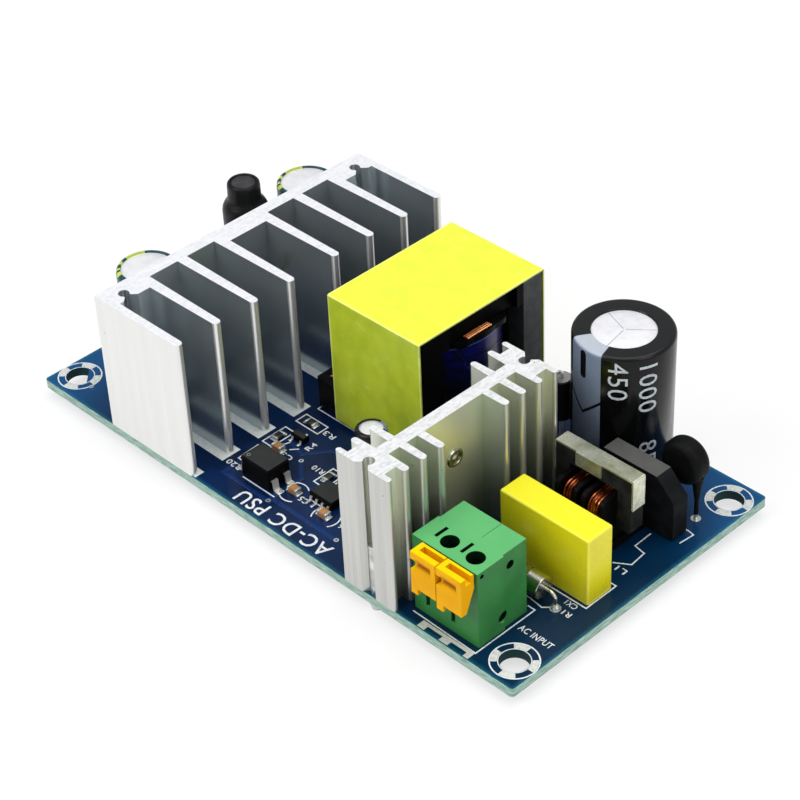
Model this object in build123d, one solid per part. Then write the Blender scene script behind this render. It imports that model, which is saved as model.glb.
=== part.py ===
from build123d import *

import os
from math import atan2, degrees

# Open-frame AC-DC power supply board, in millimetres.
# Origin: centre of the four fixing holes, on the board's underside.
# +X runs along the board towards the mains end, +Y away from the mains terminal, +Z up.

# Circuit board
board_length = 107.0
board_width = 57.0
board_thickness = 1.6
board_corner_radius = 0.6
fixing_hole_diameter = 4.6
fixing_inset_x = 3.75
fixing_inset_y = 4.5

# Edges of the board that the parts are set from
front_edge = -board_width / 2
rear_edge = board_width / 2
mains_end = board_length / 2
output_end = -board_length / 2

# Leads through the board and their solder joints
lead_hole_clearance = 0.12
solder_margin = 0.6
solder_height = 1.8
solder_sides = 12

# Output heatsink, an extrusion cut to length along Z
output_sink_inset = 18.1
output_sink_back_x = output_end + output_sink_inset
output_sink_depth = 20.0
output_sink_width = board_width
output_sink_height = 25.4
output_sink_base = 2.3
output_sink_pad = 4.1
output_sink_end_base = 4.7
output_fin_central_gap = 9.6
output_fin_root = 2.0
output_fin_tip = 1.45
output_plate_thickness = 1.4

# Primary heatsink, an extrusion with fins on both sides of its plate
primary_sink_inset = 30.1
primary_sink_plate_x = mains_end - primary_sink_inset
primary_sink_plate = 2.3
primary_sink_length = 35.3
primary_sink_overhang = 0.1
primary_sink_height = 24.6
primary_fin_right_reach = 4.5
primary_fin_left_reach = 4.1
primary_fin_right_places = (13.8, 10.25, 6.7)
primary_fin_left_places = (14.1, 10.4)
primary_fin_thickness = 1.4
primary_edge_fin = 0.95
primary_end_block_right = 2.8
primary_end_block_left = 2.35

# Screw channels of both extrusions and the pins pressed into them
channel_radius = 0.9
channel_mouth = 1.2
channel_flare = 2.9
channel_flare_depth = 0.8
sink_pin_engagement = 9.0

# Power semiconductors in fully moulded packages
package_width = 10.1
package_height = 15.9
package_depth = 4.5
package_tab_depth = 2.8
package_tab_height = 6.8
package_hole_from_top = 3.3
package_lead_pitch = 2.54
package_lead_width = 0.75
package_lead_thickness = 0.5
package_lead_from_face = 2.6
clamp_screw_height = 17.5
clamp_screw_diameter = 3.0
clamp_screw_hole_clearance = 0.15
clamp_screw_head_diameter = 5.4
clamp_screw_head_height = 2.0
cross_recess_width = 0.7
cross_recess_length = 2.8
cross_recess_depth = 1.1

# Transformer: a PQ style ferrite pair on a bobbin with two pin rails
transformer_x = 1.35
transformer_inset = 18.35
transformer_y = rear_edge - transformer_inset
core_width = 20.3
core_length = 27.2
core_height = 24.1
core_plate = 3.9
core_window_radius = 11.3
core_side_opening = 18.0
core_notch_width = 15.0
core_notch_depth = 1.2
core_post_radius = 5.9
core_lift = 1.05
tape_thickness = 0.25
tape_edge = 0.1
bobbin_clearance = 0.2
bobbin_wall = 0.9
bobbin_flange = 0.9
bobbin_flange_radius = 10.7
bobbin_tongue_width = 15.6
bobbin_lip_width = 11.9
winding_radius = 10.2
rail_inner_gap = 0.45
rail_width = 4.9
rail_length = 25.5
rail_foot = 0.5
transformer_pin_diameter = 0.8
transformer_pin_row = 27.0
transformer_pin_pitch = 4.5
transformer_pins_per_row = 6

# Electrolytic capacitors: can radius, can height and lead pitch
bulk_can_radius = 8.0
bulk_can_height = 25.4
bulk_lead_pitch = 7.5
bulk_edge_gap = 0.1
bulk_inset = 22.5
bulk_x = mains_end - bulk_inset
bulk_y = rear_edge - bulk_edge_gap - bulk_can_radius
output_can_radius = 5.15
output_can_height = 20.6
output_can_lead_pitch = 5.0
output_can_gap = 0.95
output_can_front_inset = 15.1
output_can_rear_inset = 6.75
output_can_y = (front_edge + output_can_front_inset, rear_edge - output_can_rear_inset)
small_can_radius = 2.6
small_can_height = 12.4
small_can_lead_pitch = 2.0
small_can_x = 7.9
small_can_inset = 17.4
small_can_y = front_edge + small_can_inset
can_lead_diameter = 0.6
can_bead_depth = 0.35
can_rim_width = 0.75
can_rim_height = 0.3

# Output choke in shrink sleeve
choke_end_inset = 8.9
choke_rear_inset = 18.0
choke_x = output_end + choke_end_inset
choke_y = rear_edge - choke_rear_inset
choke_body_radius = 3.95
choke_neck_radius = 2.85
choke_body_height = 20.9
choke_height = 24.4
choke_lead_pitch = 5.0
choke_lead_diameter = 0.9

# Interference capacitor
film_length = 17.5
film_depth = 5.3
film_height = 12.2
film_lead_pitch = 15.0
film_lead_diameter = 0.8
film_end_gap = 3.8
film_front_inset = 22.75
film_x = mains_end - film_end_gap - film_length / 2
film_y = front_edge + film_front_inset

# Glass fuse along X
fuse_end_inset = 14.3
fuse_front_inset = 16.5
fuse_x = mains_end - fuse_end_inset
fuse_y = front_edge + fuse_front_inset
fuse_axis_z = 4.3
fuse_length = 10.6
fuse_diameter = 3.8
fuse_cap_length = 2.6
fuse_cap_wall = 0.2
fuse_glass_wall = 0.5
fuse_lead_pitch = 14.8
fuse_lead_diameter = 0.6
fuse_wire_diameter = 0.3

# Line filter choke
filter_end_inset = 14.35
filter_x = mains_end - filter_end_inset
filter_film_gap = 4.2
filter_core_length = 14.9
filter_core_height = 9.8
filter_core_thickness = 2.7
filter_core_top = 15.0
filter_bobbin_half = 4.75
filter_y = film_y + film_depth / 2 + filter_film_gap + filter_bobbin_half
filter_bobbin_wall = 0.6
filter_flange = 0.75
filter_divider_gap = 0.9
filter_coil_radius = 4.3
filter_bobbin_headroom = 0.9
filter_foot_height = 1.6
filter_foot_reach = 0.6
filter_pin_pitch_y = 7.6
filter_pin_diameter = 0.6
clamp_thickness = 0.3
clamp_reach = 5.2
clamp_tab_length = 5.0
clamp_tab_drop = 2.1
clamp_tab_offset = -0.8

# Bridge rectifier
bridge_length = 14.0
bridge_end_gap = 3.85
bridge_filter_gap = 0.05
bridge_thickness = 3.2
bridge_x = mains_end - bridge_end_gap - bridge_length / 2
bridge_y = filter_y + filter_bobbin_half + bridge_filter_gap + bridge_thickness / 2
bridge_height = 10.6
bridge_chamfer = 3.5
bridge_lift = 0.2
bridge_lead_pitch = 3.81
bridge_lead_width = 0.9
bridge_lead_thickness = 0.6

# Inrush thermistor
thermistor_end_inset = 7.3
thermistor_x = mains_end - thermistor_end_inset
thermistor_bridge_gap = 1.65
thermistor_axis_z = 11.7
thermistor_radius = 3.8
thermistor_thickness = 3.6
thermistor_y = bridge_y + bridge_thickness / 2 + thermistor_bridge_gap + thermistor_thickness / 2
thermistor_lead_pitch = 5.0
thermistor_lead_diameter = 0.7

# Mains terminal with two push levers
terminal_width = 12.9
terminal_depth = 10.3
terminal_height = 14.0
terminal_end_inset = 9.2
terminal_front_inset = 2.9
terminal_x1 = mains_end - terminal_end_inset
terminal_x0 = terminal_x1 - terminal_width
terminal_y0 = front_edge + terminal_front_inset
terminal_y1 = terminal_y0 + terminal_depth
terminal_step = 0.3
terminal_step_depth = 5.4
terminal_step_y = terminal_y0 + terminal_step_depth
pole_pitch = 5.08
first_pole_inset = 4.92
first_pole_x = terminal_x0 + first_pole_inset
wire_hole_diameter = 2.9
wire_hole_offset = 0.2
wire_hole_inset = 2.5
wire_hole_y = terminal_y0 + wire_hole_inset
wire_hole_front_wall = 0.1
test_slot_width = 0.6
test_slot_length = 2.5
test_slot_depth = 6.0
test_slot_inset = 3.2
test_slot_y = terminal_y0 + test_slot_inset
side_holes = ((6.95, 11.3, 1.5, 2.0), (0.9, 13.1, 0.8, 1.5), (5.1, 2.6, 2.0, 0.9))
contact_chamber_width = 3.6
contact_chamber_height = 6.0
contact_chamber_floor = 1.6
contact_chamber_back_inset = 7.4
contact_chamber_back_y = terminal_y0 + contact_chamber_back_inset
contact_thickness = 0.4
contact_width = 2.8
contact_clearance = 0.15
contact_headroom = 1.2
contact_pin_width = 1.0
contact_pin_inset = 5.2
contact_pin_y = terminal_y0 + contact_pin_inset

# Levers, in the terminal's YZ section
lever_width = 4.9
lever_gap = 0.25
lever_reach = 2.9
lever_front_y = terminal_y0 - lever_reach
lever_top_z = 15.75
lever_ledge_height = 1.35
lever_ledge_depth = 1.0
lever_groove_depth = 1.3
lever_back_wall = 0.6
lever_end_wall = 0.9
lever_heel_z = 13.1
lever_bottom_z = 9.2
lever_tab_width = 1.3
lever_tab_drop = 1.15
lever_skirt = 0.55
lever_side_wall = 0.8
lever_window_height = 1.9
lever_window_depth = 0.5
lever_cam_offset = -2.17
lever_cam_thickness = 0.55
lever_cam_top = 0.65
lever_cam_nose_z = 9.7
lever_cam_nose_reach = 0.9
lever_slot_clearance = 0.12
lever_slot_bottom = 3.3
lever_slot_roof = 0.5
lever_slot_depth = 2.4
pivot_inset = 1.0
pivot_y = terminal_y0 + pivot_inset
pivot_z = 13.6
pivot_radius = 0.65
pivot_length = 1.3
pivot_clearance = 0.06
pivot_mouth = 1.15

# Output connector, a two-pin header
header_inset = 4.2
header_x = output_end + header_inset
header_y = -2.2
header_length = 7.9
header_depth = 7.2
header_base = 3.2
header_wall = 1.1
header_wall_height = 9.6
header_pin = 1.14
header_pin_pitch = 3.96
header_pin_height = 9.8

# Snubber diode, standing between the primary heatsink and the transformer
diode_sink_gap = 3.4
diode_rear_inset = 9.9
diode_x = primary_sink_plate_x - diode_sink_gap
diode_y = rear_edge - diode_rear_inset
diode_radius = 1.8
diode_length = 7.6
diode_lift = 4.0
diode_lead_pitch = 3.4
diode_lead_diameter = 0.7
diode_lead_rise = 1.3

# Surface-mount parts
solder_film = 0.1
opto_x = -7.0
opto_inset = 8.1
opto_y = front_edge + opto_inset
opto_length = 6.5
opto_width = 4.6
opto_height = 3.5
opto_lift = 0.4
opto_pin_pitch = 2.54
opto_pin_width = 1.1
opto_pin_reach = 1.3
lead_frame_thickness = 0.25
controller_x = 4.4
controller_inset = 11.1
controller_y = front_edge + controller_inset
controller_length = 4.9
controller_width = 3.9
controller_height = 1.45
controller_pin_pitch = 1.27
regulator_x = -9.9
regulator_inset = 18.0
regulator_y = front_edge + regulator_inset
chip_length = 2.0
chip_width = 1.25
chip_resistor_height = 0.5
chip_capacitor_height = 1.1
chip_end = 0.35
chip_resistor_places = ((-11.5, 21.9, 0), (-13.0, 16.1, 90), (0.6, 14.4, 90))
chip_capacitor_places = ((-10.5, 13.8, 0), (-0.8, 8.4, 0), (6.8, 7.6, 0))

# Values that follow from the sizes above
top = board_thickness
fixing_spacing_x = board_length - 2 * fixing_inset_x
fixing_spacing_y = board_width - 2 * fixing_inset_y
output_fin_pitch = (output_sink_width - output_plate_thickness - output_fin_central_gap) / 6
primary_sink_centre_y = front_edge - primary_sink_overhang + primary_sink_length / 2
output_can_x = output_sink_back_x - output_can_gap - output_can_radius
output_channel_y = output_sink_width / 2 - output_plate_thickness - 2.2
output_channel_x = output_sink_back_x + output_sink_end_base - channel_radius - 0.9
primary_channel_x = primary_sink_plate_x + primary_sink_plate / 2 + 0.2
primary_channel_y = primary_sink_length / 2 - 1.6
core_bottom = top + core_lift
core_top = core_bottom + core_height
window_bottom = core_bottom + core_plate
window_top = core_top - core_plate
rail_x = core_width / 2 + rail_inner_gap + rail_width / 2
filter_core_bottom = filter_core_top - filter_core_height
filter_leg_z = filter_core_bottom + filter_core_thickness / 2
filter_window_bottom = filter_core_bottom + filter_core_thickness
filter_window_top = filter_core_top - filter_core_thickness
filter_window_length = filter_core_length - 2 * filter_core_thickness
filter_bobbin_end = filter_window_length / 2 - 0.1
filter_pin_x = filter_bobbin_end + (filter_foot_reach - filter_flange) / 2
terminal_top = top + terminal_height
contact_chamber_top = top + contact_chamber_floor + contact_chamber_height
pole_xs = [first_pole_x + n * pole_pitch for n in range(2)]
package_bottom = clamp_screw_height + package_hole_from_top - package_height


def block(x0, x1, y0, y1, z0, z1):
    """A box given by its limits."""
    size = Box(x1 - x0, y1 - y0, z1 - z0, align=(Align.MIN, Align.MIN, Align.MIN))
    return Pos(x0, y0, z0) * size


def rod(x, y, z0, z1, radius):
    """An upright cylinder given by its axis and its two heights."""
    return Pos(x, y, z0) * Cylinder(radius, z1 - z0, align=(Align.CENTER, Align.CENTER, Align.MIN))


def prism_z(face, z0, z1):
    """A flat XY face swept up from one height to another."""
    return extrude(Pos(0, 0, z0) * face, z1 - z0)


def prism_x(points, x0, x1):
    """A closed outline of (y, z) points swept along X."""
    face = make_face(Polyline(*[(0, y, z) for y, z in points], close=True))
    return Pos(x0, 0, 0) * extrude(face, x1 - x0, dir=(1, 0, 0))


def prism_y(points, y0, y1):
    """A closed outline of (x, z) points swept along Y."""
    face = make_face(Polyline(*[(x, 0, z) for x, z in points], close=True))
    return Pos(0, y0, 0) * extrude(face, y1 - y0, dir=(0, 1, 0))


def upright_pair(x, y, pitch, along="x"):
    """The places of two leads, a pitch apart about a centre."""
    half = pitch / 2
    if along == "x":
        return [(x - half, y), (x + half, y)]
    return [(x, y - half), (x, y + half)]


# Places and radii of everything that passes through the board
package_leads_primary = [
    (primary_sink_plate_x - package_lead_from_face, primary_sink_centre_y + n * package_lead_pitch)
    for n in (-1, 0, 1)
]
package_leads_output = [
    (output_sink_back_x - package_lead_from_face, n * package_lead_pitch) for n in (-1, 0, 1)
]
sink_pins_output = [(output_channel_x, side * output_channel_y) for side in (-1, 1)]
sink_pins_primary = [
    (primary_channel_x, primary_sink_centre_y + side * primary_channel_y) for side in (-1, 1)
]
transformer_pins = [
    (
        transformer_x + side * transformer_pin_row / 2,
        transformer_y + (n - (transformer_pins_per_row - 1) / 2) * transformer_pin_pitch,
    )
    for side in (-1, 1)
    for n in range(transformer_pins_per_row)
]
bulk_leads = upright_pair(bulk_x, bulk_y, bulk_lead_pitch)
output_can_leads = [upright_pair(output_can_x, y, output_can_lead_pitch) for y in output_can_y]
small_can_leads = upright_pair(small_can_x, small_can_y, small_can_lead_pitch)
choke_leads = upright_pair(choke_x, choke_y, choke_lead_pitch, "y")
film_leads = upright_pair(film_x, film_y, film_lead_pitch)
fuse_leads = upright_pair(fuse_x, fuse_y, fuse_lead_pitch)
filter_pins = [
    (filter_x + i * filter_pin_x, filter_y + j * filter_pin_pitch_y / 2) for i in (-1, 1) for j in (-1, 1)
]
bridge_leads = [(bridge_x + (n - 1.5) * bridge_lead_pitch, bridge_y) for n in range(4)]
thermistor_leads = upright_pair(thermistor_x, thermistor_y, thermistor_lead_pitch)
contact_pins = [(x, contact_pin_y) for x in pole_xs]
header_pins = upright_pair(header_x, header_y, header_pin_pitch, "y")
diode_leads = [(diode_x, diode_y), (diode_x, diode_y - diode_lead_pitch)]

through_holes = (
    [(x, y, package_lead_width / 2) for x, y in package_leads_primary + package_leads_output]
    + [(x, y, channel_radius) for x, y in sink_pins_output + sink_pins_primary]
    + [(x, y, transformer_pin_diameter / 2) for x, y in transformer_pins]
    + [(x, y, can_lead_diameter / 2) for x, y in bulk_leads + small_can_leads + sum(output_can_leads, [])]
    + [(x, y, choke_lead_diameter / 2) for x, y in choke_leads]
    + [(x, y, film_lead_diameter / 2) for x, y in film_leads]
    + [(x, y, fuse_lead_diameter / 2) for x, y in fuse_leads]
    + [(x, y, filter_pin_diameter / 2) for x, y in filter_pins]
    + [(x, y, bridge_lead_width / 2) for x, y in bridge_leads]
    + [(x, y, thermistor_lead_diameter / 2) for x, y in thermistor_leads]
    + [(x, y, contact_pin_width / 2 * 1.2) for x, y in contact_pins]
    + [(x, y, header_pin / 2 * 1.42) for x, y in header_pins]
    + [(x, y, diode_lead_diameter / 2) for x, y in diode_leads]
)


def circuit_board():
    """The laminate with its fixing holes and lead holes."""
    outline = RectangleRounded(board_length, board_width, board_corner_radius)
    fixing = GridLocations(fixing_spacing_x, fixing_spacing_y, 2, 2) * Circle(fixing_hole_diameter / 2)
    face = outline - fixing
    for x, y, radius in through_holes:
        face -= Pos(x, y) * Circle(radius + lead_hole_clearance)
    return prism_z(face, 0, board_thickness)


def solder_joints():
    """One cone of solder under the board for each lead, all of one height."""
    slope = degrees(atan2(solder_margin, solder_height))
    joints = []
    for x, y, radius in through_holes:
        pad = RegularPolygon(radius + solder_margin, solder_sides)
        joints.append(Pos(x, y, 0) * extrude(pad, -solder_height, taper=slope))
    return joints


def fin(root, tip, length):
    """A fin along +X from the origin, tapered and with a round tip."""
    reach = length - tip / 2
    flank = make_face(Polyline((0, -root / 2), (reach, -tip / 2), (reach, tip / 2), (0, root / 2), close=True))
    return flank + Pos(reach, 0) * Circle(tip / 2)


def screw_channel(mouth_length):
    """A round channel whose mouth opens along +X and flares at the end."""
    mouth = Circle(channel_radius) + Pos(mouth_length / 2, 0) * Rectangle(mouth_length, channel_mouth)
    inner = mouth_length - channel_flare_depth
    narrow, wide = channel_mouth / 2, channel_flare / 2
    return mouth + make_face(
        Polyline((inner, -narrow), (mouth_length, -wide), (mouth_length, wide), (inner, narrow), close=True)
    )


def output_heatsink():
    """The large extrusion: a base, eight fins along +X and a screw channel near each end."""
    half = output_sink_width / 2
    back = output_sink_back_x
    face = Pos(back + output_sink_base / 2, 0) * Rectangle(output_sink_base, output_sink_width)
    face += Pos(back + output_sink_pad / 2, 0) * Rectangle(output_sink_pad, output_fin_central_gap)
    last_fin = output_fin_central_gap / 2 + 2 * output_fin_pitch
    for side in (-1, 1):
        end_middle = side * (last_fin + half) / 2
        face += Pos(back + output_sink_end_base / 2, end_middle) * Rectangle(
            output_sink_end_base, half - last_fin
        )
        for n in range(3):
            y = side * (output_fin_central_gap / 2 + n * output_fin_pitch)
            face += Pos(back, y) * fin(output_fin_root, output_fin_tip, output_sink_depth)
        y = side * (half - output_plate_thickness / 2)
        face += Pos(back, y) * fin(output_plate_thickness, output_plate_thickness, output_sink_depth)
    for side in (-1, 1):
        mouth_length = output_sink_back_x + output_sink_end_base - output_channel_x
        face -= Pos(output_channel_x, side * output_channel_y) * screw_channel(mouth_length)
    body = prism_z(face, top, top + output_sink_height)
    bore = Pos(back, 0, clamp_screw_height) * Rot(0, 90, 0) * Cylinder(clamp_screw_diameter / 2, 3 * output_sink_pad)
    return body - bore


def primary_heatsink():
    """The small extrusion: a plate along Y with fins on both sides and a screw channel in each end."""
    half = primary_sink_length / 2
    plate = primary_sink_plate
    face = Pos(plate / 2, 0) * Rectangle(plate, primary_sink_length)
    right_fin = fin(primary_fin_thickness, primary_fin_thickness * 0.9, primary_fin_right_reach)
    left_fin = Rot(0, 0, 180) * fin(primary_fin_thickness, primary_fin_thickness * 0.8, primary_fin_left_reach)
    right_edge = fin(primary_edge_fin, primary_edge_fin, primary_fin_right_reach)
    left_edge = Rot(0, 0, 180) * fin(primary_edge_fin, primary_edge_fin, primary_fin_left_reach)
    for side in (-1, 1):
        edge = side * (half - primary_edge_fin / 2)
        face += Pos(plate, edge) * right_edge
        face += Pos(0, edge) * left_edge
        for y in primary_fin_right_places:
            face += Pos(plate, side * y) * right_fin
        for y in primary_fin_left_places:
            face += Pos(0, side * y) * left_fin
        for inner, reach, sign in (
            (primary_fin_right_places[0], primary_end_block_right, 1),
            (primary_fin_left_places[0], primary_end_block_left, -1),
        ):
            start = plate if sign > 0 else 0
            face += Pos(start + sign * reach / 2, side * (half + inner) / 2) * Rectangle(reach, half - inner)
        mouth = Rot(0, 0, side * 90) * screw_channel(half - primary_channel_y)
        face -= Pos(primary_channel_x - primary_sink_plate_x, side * primary_channel_y) * mouth
    body = prism_z(Pos(primary_sink_plate_x, primary_sink_centre_y) * face, top, top + primary_sink_height)
    bore = Pos(primary_sink_plate_x, primary_sink_centre_y, clamp_screw_height) * Rot(0, 90, 0) * Cylinder(
        clamp_screw_diameter / 2, 3 * plate
    )
    return body - bore


def sink_pins(places):
    """Round pins pressed into the screw channels, standing through the board."""
    return [rod(x, y, 0, top + sink_pin_engagement, channel_radius) for x, y in places]


def moulded_package():
    """A three-lead power package: its back at x = 0, facing -X, with its screw hole on the X axis."""
    top_z = package_hole_from_top
    bottom_z = top_z - package_height
    step_z = top_z - package_tab_height
    profile = [
        (-package_tab_depth, top_z),
        (0, top_z),
        (0, bottom_z),
        (-package_depth, bottom_z),
        (-package_depth, step_z),
        (-package_tab_depth, step_z + 0.6),
    ]
    body = prism_y(profile, -package_width / 2, package_width / 2)
    hole_radius = clamp_screw_diameter / 2 + clamp_screw_hole_clearance
    body -= Rot(0, 90, 0) * Cylinder(hole_radius, 3 * package_depth)
    for side in (-1, 1):
        notch = Pos(-package_tab_depth / 2, side * package_width / 2, 0) * Cylinder(0.9, 1.6)
        body -= Pos(0, 0, -1.0) * notch
    lead_z = -clamp_screw_height
    for n in (-1, 0, 1):
        y = n * package_lead_pitch
        wide = package_lead_width * 0.85
        body += block(
            -package_lead_from_face - package_lead_thickness / 2,
            -package_lead_from_face + package_lead_thickness / 2,
            y - wide / 2,
            y + wide / 2,
            lead_z,
            bottom_z,
        )
    return body


def switching_transistor():
    """The package screwed to the -X face of the primary heatsink's plate."""
    return Pos(primary_sink_plate_x, primary_sink_centre_y, clamp_screw_height) * moulded_package()


def output_rectifier():
    """The package screwed to the back of the output heatsink."""
    return Pos(output_sink_back_x, 0, clamp_screw_height) * moulded_package()


def clamp_screw(length):
    """A pan head screw along +X with a cross recess, its head's seat at x = 0."""
    head = Pos(-clamp_screw_head_height / 2, 0, 0) * Rot(0, 90, 0) * Cylinder(
        clamp_screw_head_diameter / 2, clamp_screw_head_height
    )
    head = fillet(head.edges().filter_by(GeomType.CIRCLE).sort_by(Axis.X)[0], 0.9)
    shank = Pos(length / 2, 0, 0) * Rot(0, 90, 0) * Cylinder(clamp_screw_diameter / 2, length)
    screw = head + shank
    for wide, tall in ((cross_recess_width, cross_recess_length), (cross_recess_length, cross_recess_width)):
        screw -= Pos(-clamp_screw_head_height, 0, 0) * Box(2 * cross_recess_depth, wide, tall)
    return screw


def clamp_screws():
    """The two screws that hold the packages to the heatsinks."""
    primary = clamp_screw(package_tab_depth + primary_sink_plate)
    output = clamp_screw(package_tab_depth + output_sink_pad)
    return [
        Pos(primary_sink_plate_x - package_tab_depth, primary_sink_centre_y, clamp_screw_height) * primary,
        Pos(output_sink_back_x - package_tab_depth, 0, clamp_screw_height) * output,
    ]


def core_outline():
    """The ferrite's outline seen from above."""
    return RectangleRounded(core_width, core_length, 0.8)


def transformer_core_half(is_upper):
    """A plate with a round centre post and two outer legs, hollowed round the winding."""
    middle = (core_bottom + core_top) / 2
    window = Circle(core_window_radius) + Rectangle(core_width + 2, core_side_opening)
    legs = core_outline() - window
    post = Circle(core_post_radius)
    z0, z1 = (middle, core_top) if is_upper else (core_bottom, middle)
    p0, p1 = (window_top, core_top) if is_upper else (core_bottom, window_bottom)
    notch = Rectangle(core_notch_depth, core_notch_width)
    plate = core_outline()
    for side in (-1, 1):
        plate -= Pos(side * (core_width - core_notch_depth) / 2, 0) * notch
    half = prism_z(legs, z0, z1) + prism_z(post, z0, z1) + prism_z(plate, p0, p1)
    return Pos(transformer_x, transformer_y, 0) * half


def transformer_bobbin():
    """A tube with two flanges that reach out through the core's sides, and a pin rail on each side."""
    low = window_bottom + bobbin_clearance
    high = window_top - bobbin_clearance
    inner = core_post_radius + bobbin_clearance
    outer = inner + bobbin_wall
    tongue_low = Rectangle(2 * (rail_x - rail_width / 2) + 1, bobbin_tongue_width)
    tongue_high = RectangleRounded(core_width + 0.6, bobbin_lip_width, 2.0)
    flange = Circle(bobbin_flange_radius) - Circle(inner)
    body = prism_z(Circle(outer) - Circle(inner), low, high)
    body += prism_z(flange + (tongue_low - Circle(inner)), low, low + bobbin_flange)
    body += prism_z(flange + (tongue_high - Circle(inner)), high - bobbin_flange, high)
    for side in (-1, 1):
        rail = Pos(side * rail_x, 0) * RectangleRounded(rail_width, rail_length, 0.5)
        body += prism_z(rail, top + rail_foot, low + bobbin_flange)
    body = Pos(transformer_x, transformer_y, 0) * body
    for x, y in transformer_pins:
        body -= rod(x, y, 0, low - 0.6, transformer_pin_diameter / 2)
    return body


def transformer_pin_set():
    """Round pins pressed up into the rails."""
    end = window_bottom + bobbin_clearance - 0.6
    return [rod(x, y, 0, end, transformer_pin_diameter / 2) for x, y in transformer_pins]


def transformer_winding():
    """The taped coil between the bobbin's flanges."""
    inner = core_post_radius + bobbin_clearance + bobbin_wall
    low = window_bottom + bobbin_clearance + bobbin_flange
    high = window_top - bobbin_clearance - bobbin_flange
    coil = prism_z(Circle(winding_radius) - Circle(inner), low, high)
    return Pos(transformer_x, transformer_y, 0) * coil


def transformer_tape():
    """The band round the outside of both ferrite halves, open at the sides."""
    outer = Rectangle(core_length + 2 * tape_thickness, core_height + 2 * tape_thickness)
    outer = fillet(outer.vertices(), 0.3)
    ring = outer - Rectangle(core_length, core_height)
    band = extrude(Plane.YZ * ring, core_width / 2 - tape_edge, both=True)
    return Pos(transformer_x, transformer_y, (core_bottom + core_top) / 2) * band


def can_capacitor(x, y, radius, height, leads):
    """A sleeved electrolytic can: a bead near its foot, a curled rim and a sunk lid."""
    bead_z = 0.12 * height
    profile = [
        (0, 0),
        (radius - 0.4, 0),
        (radius, 0.4),
        (radius, bead_z - can_bead_depth),
        (radius - can_bead_depth, bead_z),
        (radius, bead_z + can_bead_depth),
        (radius, height - 0.6),
        (radius - 0.5, height),
        (radius - can_rim_width, height),
        (radius - can_rim_width - 0.15, height - can_rim_height),
        (0, height - can_rim_height),
    ]
    section = make_face(Polyline(*[(r, 0, z) for r, z in profile], close=True))
    can = Pos(x, y, top) * revolve(section, Axis.Z)
    for lead_x, lead_y in leads:
        can += rod(lead_x, lead_y, 0, top + 0.1, can_lead_diameter / 2)
    return can


def output_choke():
    """A rod core choke in a black sleeve that is shrunk in over its top."""
    body_r, neck_r = choke_body_radius, choke_neck_radius
    shoulder = choke_body_height
    section = make_face(
        Polyline(
            (0, 0, 0),
            (body_r - 0.3, 0, 0),
            (body_r, 0, 0.3),
            (body_r, 0, shoulder - 1.6),
            (body_r - 0.35, 0, shoulder - 0.6),
            (neck_r + 0.15, 0, shoulder),
            (neck_r, 0, shoulder + 0.5),
            (neck_r, 0, choke_height - 0.4),
            (neck_r - 0.4, 0, choke_height),
            (neck_r - 0.7, 0, choke_height - 0.2),
            (0, 0, choke_height - 0.2),
            close=True,
        )
    )
    choke = Pos(choke_x, choke_y, top) * revolve(section, Axis.Z)
    for x, y in choke_leads:
        choke += rod(x, y, 0, top + 0.1, choke_lead_diameter / 2)
    return choke


def interference_capacitor():
    """A box capacitor with rounded edges and two leads."""
    case = Box(film_length, film_depth, film_height, align=(Align.CENTER, Align.CENTER, Align.MIN))
    case = fillet(case.edges().filter_by(Axis.Z) + case.faces().sort_by(Axis.Z)[-1].edges(), 0.35)
    case = Pos(film_x, film_y, top) * case
    for x, y in film_leads:
        case += rod(x, y, 0, top + 0.1, film_lead_diameter / 2)
    return case


def fuse_tube():
    """The glass tube between the end caps."""
    radius = fuse_diameter / 2 - fuse_cap_wall
    length = fuse_length - 2 * fuse_cap_wall
    tube = Cylinder(radius, length) - Cylinder(radius - fuse_glass_wall, length)
    return Pos(fuse_x, fuse_y, fuse_axis_z) * Rot(0, 90, 0) * tube


def fuse_cap(side):
    """A metal end cap with its lead, bent down through the board."""
    radius = fuse_diameter / 2
    middle = fuse_length / 2 - fuse_cap_length / 2
    cup = Cylinder(radius, fuse_cap_length)
    cup -= Pos(0, 0, -fuse_cap_wall) * Cylinder(radius - fuse_cap_wall, fuse_cap_length)
    cup = fillet(cup.edges().filter_by(GeomType.CIRCLE).sort_by(Axis.Z)[-1], 0.15)
    bend = 1.0
    reach = fuse_lead_pitch / 2
    path = FilletPolyline(
        (fuse_length / 2 - 0.1, 0, 0), (reach, 0, 0), (reach, 0, -fuse_axis_z), radius=bend
    )
    lead = sweep(Plane(path @ 0, z_dir=path % 0) * Circle(fuse_lead_diameter / 2), path)
    cap = Pos(middle, 0, 0) * Rot(0, 90, 0) * cup + lead
    if side < 0:
        cap = mirror(cap, Plane.YZ)
    return Pos(fuse_x, fuse_y, fuse_axis_z) * cap


def fuse_wire():
    """The fusible wire from cap to cap."""
    length = fuse_length - 2 * fuse_cap_wall
    return Pos(fuse_x, fuse_y, fuse_axis_z) * Rot(0, 90, 0) * Cylinder(fuse_wire_diameter / 2, length)


def filter_core_half(side):
    """A U shaped ferrite in the XZ plane, one of two that meet in the middle."""
    length = filter_core_length / 2
    half = block(0, length, -filter_core_thickness / 2, filter_core_thickness / 2, 0, filter_core_height)
    half = fillet(half.edges().filter_by(Axis.Y).sort_by(Axis.X)[-2:], 0.5)
    half -= block(
        -1,
        length - filter_core_thickness,
        -filter_core_thickness,
        filter_core_thickness,
        filter_core_thickness,
        filter_core_height - filter_core_thickness,
    )
    if side < 0:
        half = mirror(half, Plane.YZ)
    return Pos(filter_x, filter_y, filter_core_bottom) * half


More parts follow.
